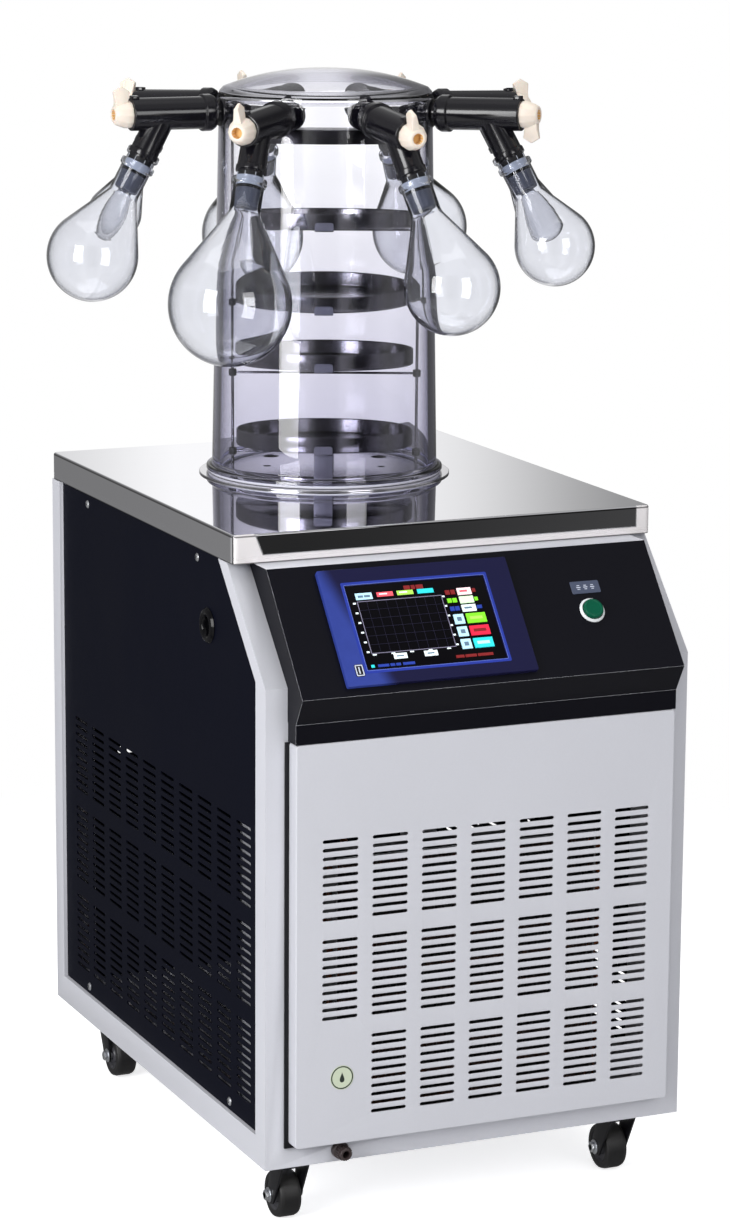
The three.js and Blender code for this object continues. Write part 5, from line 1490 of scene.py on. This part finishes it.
def addStation(station):
    name = station["name"]
    tag = name.title().replace("_", "")
    at = stationPlace(station)
    addPiece("valveBody" + tag, valveShape(valve), "valveBlack", replaces="valve_body_" + name,
             place=at)
    gland = joined(moved(neckShape(valve), downBranch), moved(stopperShape(stopper), downBranch))
    addPiece("valveGland" + tag, gland,
             ("neckRubber", "glandPlastic", "stopperRubber", "stopperRim", "plugWell"),
             place=at)
    inNeck = downBranch @ shift(z=flask["start"])
    vessel = flaskShape(station)
    # The socket's ground wall is frosted.
    for face in vessel.faces:
        face.material_index = 1 if face.calc_center_median().z < flask["ground"] else 0
    addPiece("flask" + tag, moved(vessel, inNeck), ("flaskGlass", "groundGlass"), replaces="flask_" + name,
             place=at, sharp=60)
    wing = at @ turn(180, "X") if name == "front_right" else at
    addPiece("knob" + tag, knobShape(knob), ("knobCream", "knobBore"), body="knob_" + name,
             replaces="knob_" + name, place=wing, sharp=24)


for station in stations:
    addStation(station)
print("manifold is ready")


caster = {
    "x": 192, "front": -42, "rear": 497, "trail": 20, "wheel": 25, "width": 24, "axle": 4, "headTop": 75,
    "head": 19, "headHeight": 9, "legGap": 1.5, "leg": 2.5, "crown": 30, "foot": 9, "nut": 6,
    "nutLength": 5, "washer": 8,
}


def forkShape(c):
    base = c["headTop"] - c["headHeight"]
    inner = c["width"] / 2 + c["legGap"]
    outer = inner + c["leg"]
    race = lathe([
        (0, base), (c["head"] - 3, base), (c["head"] - 1.2, base + 2.5, 0.6), (c["head"] - 2.2, base + 3.4),
        (c["head"] - 2.2, base + 4.4), (c["head"], base + 5.2, 0.6), (c["head"], c["headTop"], 0.8),
        (0, c["headTop"]),
    ], 48, soft=3)
    crown = box((-outer, outer), (-c["crown"] / 2, c["crown"] / 2), (base - 3, base + 1), 1.4)
    outline = roundCorners([
        (-c["crown"] / 2, base - 1), (c["trail"] - c["foot"], c["wheel"] - c["foot"], c["foot"] * 0.9),
        (c["trail"] + c["foot"], c["wheel"] - c["foot"], c["foot"] * 0.9), (c["crown"] / 2, base - 1),
    ], steps=6)
    legs = [moved(soften(prism(outline, c["leg"]), 0.6, 2, 50), shift(x=start) @ facingSide)
            for start in (-outer, inner)]
    at = shift(0, c["trail"], c["wheel"]) @ alongX
    pin = moved(rod(c["axle"], -outer, outer, 24), at)
    end = outer + c["nutLength"]
    nuts = [moved(rod(*size), at) for size in (
        (c["nut"], -end, -outer, 6, 0.6), (c["nut"], outer, end, 6, 0.6), (c["axle"] - 0.8, -end, -outer, 16),
        (c["washer"], -outer - 0.9, -outer, 24, 0.2), (c["washer"], outer, outer + 0.9, 24, 0.2),
    )]
    return joined(dyed(race, 1), crown, *legs, *[dyed(part, 1) for part in (pin, *nuts)])


def wheelShapes(c):
    half = c["width"] / 2
    r = c["wheel"]

    def bothSides(points):
        return points + [(x, -y, *radius) for x, y, *radius in reversed(points)]

    tyre = lathe(bothSides([(r - 8, -half, 0.6), (r - 1.6, -half, 2.6), (r, -half + 4.5, 2.6)]), 64, True, 5)
    hub = lathe(bothSides([
        (c["axle"] + 0.5, -half + 1), (8, -half + 1, 0.5), (9.5, -half + 4), (r - 10, -half + 4),
        (r - 8.4, -half + 1.2), (r - 7.6, -half + 1.2),
    ]), 48, True, 3)
    return joined(tyre, dyed(hub, 1))


def addCasters(c):
    corners = (("front_left", -1, c["front"], 0), ("front_right", 1, c["front"], 0),
               ("rear_left", -1, c["rear"], 180), ("rear_right", 1, c["rear"], 180))
    for name, side, y, angle in corners:
        tag = name.title().replace("_", "")
        at = machine @ shift(side * c["x"], y, 0) @ turn(angle, "Z")
        addPiece("casterFork" + tag, forkShape(c), ("blackSteel", "zincPlate"), body="caster_fork_" + name,
                 replaces="caster_fork_" + name, place=at)
        wheelAt = at @ shift(0, c["trail"], c["wheel"]) @ alongX
        addPiece("casterWheel" + tag, wheelShapes(c), ("tyreRubber", "hubPlastic"),
                 body="caster_wheel_" + name, replaces="caster_wheel_" + name,
                 place=wheelAt)


addCasters(caster)
print("casters are ready")


drain = {"centre": (-157, 91), "radius": 8, "length": 19, "bore": 4, "shank": 6.4, "flange": 9.2}


def addDrain(d):
    long = d["length"]
    body = lathe([
        (d["bore"], -long), (d["radius"] - 1.5, -long, 1), (d["radius"] - 0.4, -long * 0.35, 0.8),
        (d["flange"], -long * 0.3, 0.8), (d["flange"], 0), (d["shank"], 0), (d["shank"], 4.3),
        (d["bore"], 4.3),
    ], 48, closed=True, soft=3)
    rib = box((d["radius"] - 1.2, d["radius"] - 0.05), (-0.7, 0.7), (-long + 3, -long * 0.42), 0.3, 1)
    ribs = copies(rib, [turn(360 / 18 * i, "Z") for i in range(18)])
    place = shift(d["centre"][0], -frontPanel["back"], d["centre"][1]) @ alongY
    addPiece("drainOutlet", moved(joined(body, ribs), place), "drainPlastic", replaces="drain_outlet")


addDrain(drain)

drainLabel = {"centre": (-163.5, 176.4), "radius": 13, "paper": 0.35, "ink": 0.42}


def addDrainLabel(p):
    face = frontPanel["front"] + 0.02
    disc = prism(circle(p["radius"], p["centre"], 64), p["paper"])
    around, inside = (circle(p["radius"] - rim, p["centre"], 64) for rim in (0.7, 2.0))
    ring = dyed(thicken(sheet(around, [inside]), p["ink"]), 1)
    # A plain drop stands for the drain.
    x, y = p["centre"]
    drop = [(x + 4.0 * math.sin(t) * (0.5 - 0.5 * math.cos(t)), y + 0.4 + 5.6 * math.cos(t))
            for t in (math.tau * i / 32 for i in range(1, 32))]
    mark = dyed(prism([(x, y + 6.0)] + drop, p["ink"]), 1)
    addPiece("drainLabel", moved(joined(disc, ring, mark), facingFront @ shift(z=face)),
             ("labelPaper", "labelInk"))


addDrainLabel(drainLabel)

rear = {
    "halfWidth": 215.7, "y": 554.3, "low": 78.6, "high": 696, "slot": (90, 9), "pitch": 22,
    "columnPitch": 120, "top": 441.2, "inlet": (150, 170, 48, 28), "port": (0, 640, 13.6), "sheet": 1.5,
    "screwX": 206, "screwZ": (92, 250, 400, 550, 684),
}


def addRearPanel(p):
    width, height = p["halfWidth"] * 2, p["high"] - p["low"]
    holes = []
    for column in (-1, 0, 1):
        for i in range(4):
            z = p["top"] - i * p["pitch"] - p["slot"][1] / 2
            holes.append(slotOutline(*p["slot"], (column * p["columnPitch"], z), 5))
    x, z, w, h = p["inlet"]
    holes.append(rectangle(w, h, 1, (x, z)))
    holes.append(circle(p["port"][2], p["port"][:2], 32))
    outline = rectangle(width, height, 2, (0, (p["high"] + p["low"]) / 2))
    shape = thicken(sheet(outline, holes), p["sheet"])
    addPiece("rearPanel", moved(shape, shift(0, p["y"] + p["sheet"], 0) @ facingFront), "blackPaint",
             replaces="rear_panel")
    head = lathe([(0, 0), (4.2, 0), (4.2, 0.6), (3.0, 1.8), (0, 2.2)], 20)
    places = [shift(x, p["y"] + p["sheet"] + 0.05, z) @ alongY for x in (-p["screwX"], p["screwX"])
              for z in p["screwZ"]]
    addPiece("rearPanelScrews", copies(head, places), "zincPlate")


addRearPanel(rear)

inlet = {
    "centre": (150, 170), "face": 556.1, "width": 48, "height": 28, "flange": 8, "well": (26, 18, 3),
    "tube": (47.4, 27.4, 1), "depth": 21.8, "pins": ((-7, -2), (0, 3), (7, -2)), "screwX": 28,
}


def addInlet(p):
    w, h = p["width"] / 2, p["height"] / 2
    flangeOutline = rectangle(2 * (w + p["flange"]), 2 * (h + 3), 5)
    well = rectangle(*p["well"])
    face = soften(prism(flangeOutline, 3, [well]), 0.5, 2, 50)
    tube = rectangle(*p["tube"])
    parts = [face] + [moved(shape, shift(z=-p["depth"])) for shape in (
        thicken(sheet(tube, [well]), p["depth"]), prism(tube, 2),
    )]
    for x, z in p["pins"]:
        parts.append(dyed(box((x - 1, x + 1), (z - 2.5, z + 2.5), (-17, -4), 0.3), 1))
    for x in (-p["screwX"], p["screwX"]):
        parts.append(dyed(moved(lathe([(0, 3), (3.4, 3), (2.6, 4.4), (0, 4.8)], 20), shift(x)), 2))
    place = shift(p["centre"][0], p["face"], p["centre"][1]) @ alongY
    addPiece("powerInlet", moved(joined(*parts), place), ("neckRubber", "brassPin", "zincPlate"),
             replaces="power_inlet")


addInlet(inlet)

vacuum = {"z": 640, "pipe": 13, "wall": 1.5, "flange": 20, "start": 427.3, "nut": 556.1, "end": 601.8}


def addVacuumPort(v):
    bore = v["pipe"] - v["wall"]
    body = lathe([
        (bore, v["start"]), (v["pipe"], v["start"]), (v["pipe"], v["nut"]), (v["pipe"] + 5, v["nut"], 0.8),
        (v["pipe"] + 5, v["nut"] + 4.5, 1), (v["pipe"], v["nut"] + 6), (v["pipe"], v["end"] - 7),
        (v["flange"], v["end"] - 4, 1), (v["flange"], v["end"], 0.6), (bore, v["end"], 0.5),
    ], 64, closed=True, soft=4)
    addPiece("vacuumPort", moved(body, shift(0, 0, v["z"]) @ alongY), "trapSteel", replaces="vacuum_port")


addVacuumPort(vacuum)
print("fittings are ready")


compressor = {"radius": 78, "height": 190, "centre": (95, 330), "foot": 14, "base": 81.6}


def addCompressor(p):
    r, base, h = p["radius"], p["base"], p["height"]
    shell = lathe([
        (0, base + p["foot"]), (r - 4, base + p["foot"], 14), (r - 1.5, base + 96), (r, base + 97, 0.8),
        (r, base + 103, 0.8), (r - 1.5, base + 104), (r - 3, base + h - 32, 26),
        (r * 0.62, base + h - 6, 20), (0, base + h),
    ], 72, soft=6)
    foot = r * 0.82
    plateShape = box((-foot, foot), (-foot, foot), (base + p["foot"] - 3, base + p["foot"]), 1.2)
    mount = lathe([
        (0, base), (9, base, 2), (9, base + 5, 1), (6.5, base + 6.5, 1), (9, base + 8, 1), (9, base + 13, 2),
        (0, base + 13),
    ], 24, soft=3)
    corners = [shift(x, y) for x in (12 - foot, foot - 12) for y in (12 - foot, foot - 12)]
    cover = box((-r - 8, -r + 8), (-22, 22), (base + 50, base + 92), 3)
    whole = joined(shell, plateShape, dyed(copies(mount, corners), 1), dyed(cover, 1))
    addPiece("compressor", moved(whole, shift(*p["centre"])), ("blackSteel", "neckRubber"),
             replaces="compressor")


addCompressor(compressor)

condenser = {"width": 300, "depth": 44, "height": 290, "y": -62, "base": 81.6, "foot": 24, "fins": 74}


def addCondenser(p):
    half = p["width"] / 2
    low = p["base"] + p["foot"]
    top = low + p["height"]
    fin = box((-0.2, 0.2), (2, p["depth"] - 2), (low + 3, top - 3))
    pitch = (p["width"] - 12) / p["fins"]
    fins = copies(fin, [shift(x=-half + 6 + pitch * (i + 0.5)) for i in range(p["fins"])])
    parts = [fins]
    for x in (-half, half - 2):
        parts.append(box((x, x + 2), (0, p["depth"]), (low, top), 0.4))
    for z in (low, top - 2):
        parts.append(box((-half, half), (0, p["depth"]), (z, z + 2), 0.4))
    for x in (15 - half, half - 15):
        parts.append(box((x - 15, x + 15), (4, p["depth"]), (p["base"], low + 1), 0.6))
    rows = 10
    for i in range(rows):
        z = low + p["height"] * ((i + 0.5) / rows)
        for y in (p["depth"] * 0.3, p["depth"] * 0.7):
            parts.append(dyed(moved(rod(4.2, -half - 3, half + 3, 12), shift(0, y, z) @ alongX), 1))
    for i in range(rows - 1):
        z = low + p["height"] * ((i + 0.5) / rows)
        step = p["height"] / rows
        y = p["depth"] * (0.3 if i % 2 else 0.7)
        bend = [(half + 2, y, z), (half + 9, y, z + step * 0.12), (half + 13, y, z + step * 0.5),
                (half + 9, y, z + step * 0.88), (half + 2, y, z + step)]
        parts.append(dyed(pipe(bend, 4.2, 10, 4), 1))
    addPiece("condenser", moved(joined(*parts), shift(y=p["y"])), ("finAluminium", "copperTube"),
             replaces="condenser")


addCondenser(condenser)

fan = {
    "y": -17.7, "z": 250.6, "radius": 112, "ring": 117, "ringDepth": 22, "plate": 2, "blades": 5,
    "hub": 24, "shaft": 4, "motor": 30, "motorLength": 46, "pitch": 14, "arm": 10,
    # A blade is drawn by rows from hub to tip and points along its chord.
    "bladeRows": 8, "chordSteps": 6, "chord": (24, 30), "camber": 2.4, "rake": 10, "bladeSheet": 1.8,
}
onFan = machine @ shift(0, fan["y"], fan["z"]) @ alongY


def addFan(f):
    outline = rectangle(condenser["width"], condenser["height"], 2)
    plateShape = prism(outline, f["plate"], [circle(f["ring"], steps=72)])
    duct = lathe([
        (f["ring"], 0), (f["ring"] + 5, 0, 0.2), (f["ring"] + 2, 5, 3), (f["ring"] + 2, f["ringDepth"], 0.5),
        (f["ring"], f["ringDepth"], 0.5),
    ], 72, closed=True, soft=3)
    back = f["ringDepth"]
    parts = [plateShape, duct]
    for i in range(3):
        arm = box((f["motor"] - 5, f["ring"] + 1.5), (-f["arm"] / 2, f["arm"] / 2), (back - 1, back + 2), 0.8)
        parts.append(moved(arm, turn(90 + 120 * i, "Z")))
    parts.append(lathe([
        (0, back - 4), (f["motor"], back - 4, 2), (f["motor"], back + f["motorLength"] - 4, 3),
        (0, back + f["motorLength"] - 4),
    ], 48, soft=4))
    parts.append(rod(f["shaft"], 0, back, 20))
    addPiece("fanShroud", joined(*parts), "blackSteel", replaces="fan_shroud",
             place=onFan)

    top = f["ringDepth"] - 5.5
    base = top - 14
    hub = lathe([
        (f["shaft"] + 0.5, base), (f["hub"] - 5, base, 3), (f["hub"], base + 4, 2), (f["hub"], top, 0.6),
        (f["shaft"] + 0.5, top),
    ], 48, closed=True, soft=4)
    rows = []
    last, steps = f["bladeRows"], f["chordSteps"]
    rootChord, swell = f["chord"]
    for k in range(last + 1):
        radius = f["hub"] - 2 + (f["radius"] - 4 - f["hub"]) * k / last
        chord = rootChord + swell * math.sin(math.pi * (0.15 + 0.62 * k / last))
        tilt = math.radians(f["pitch"] * (1.35 - 0.7 * k / last))
        ringRow = []
        for j in range(steps + 1):
            along = (j / steps - 0.5) * chord
            camber = f["camber"] * (1 - (2 * j / steps - 1) ** 2)
            height = math.sin(tilt) * along + camber * 0.6
            sweep = along * math.cos(tilt) + f["rake"] * (k / last) ** 2
            ringRow.append((radius * math.cos(sweep / radius), radius * math.sin(sweep / radius),
                            max(base + 0.5, min(top - 2.2, (top + base) / 2 + height - 1.2))))
        rows.append(ringRow)
    blade = bmesh.new()
    grid = [[blade.verts.new(point) for point in row] for row in rows]
    edgesOf = [[blade.edges.new(pair) for pair in zip(row, row[1:])] for row in grid]
    for first, second in zip(edgesOf, edgesOf[1:]):
        bmesh.ops.bridge_loops(blade, edges=first + second)
    bmesh.ops.recalc_face_normals(blade, faces=blade.faces)
    blade = thicken(blade, f["bladeSheet"])
    rotor = joined(hub, copies(blade, [turn(360 / f["blades"] * i, "Z") for i in range(f["blades"])]))
    addPiece("fanRotor", rotor, "fanPlastic", body="fan_rotor", replaces="fan_rotor",
             place=onFan)


addFan(fan)

copperPaths = {
    "discharge": [(95, 330, 262), (95, 290, 290), (60, 200, 300), (100, 60, 330), (168, -10, 372),
                  (164, -40, 372)],
    "suction": [(40, 300, 250), (10, 270, 300), (-40, 240, 380), (-80, 250, 470)],
    "liquid": [(160, -40, 118), (176, 0, 120), (160, 90, 100), (60, 160, 98), (-60, 200, 110),
               (-90, 260, 240), (-100, 280, 470)],
}


def addCopperLines(paths):
    shapes = [pipe(points, 4 if name == "suction" else 3.2, 10, 6) for name, points in paths.items()]
    dryer = moved(lathe([(0, 0), (4, 0, 1), (11, 10, 4), (11, 70, 4), (4, 80, 1), (0, 80)], 24, soft=3),
                  shift(-60, 200, 150))
    addPiece("copperLines", joined(*shapes, dryer), "copperTube")


addCopperLines(copperPaths)
print("refrigeration is ready")
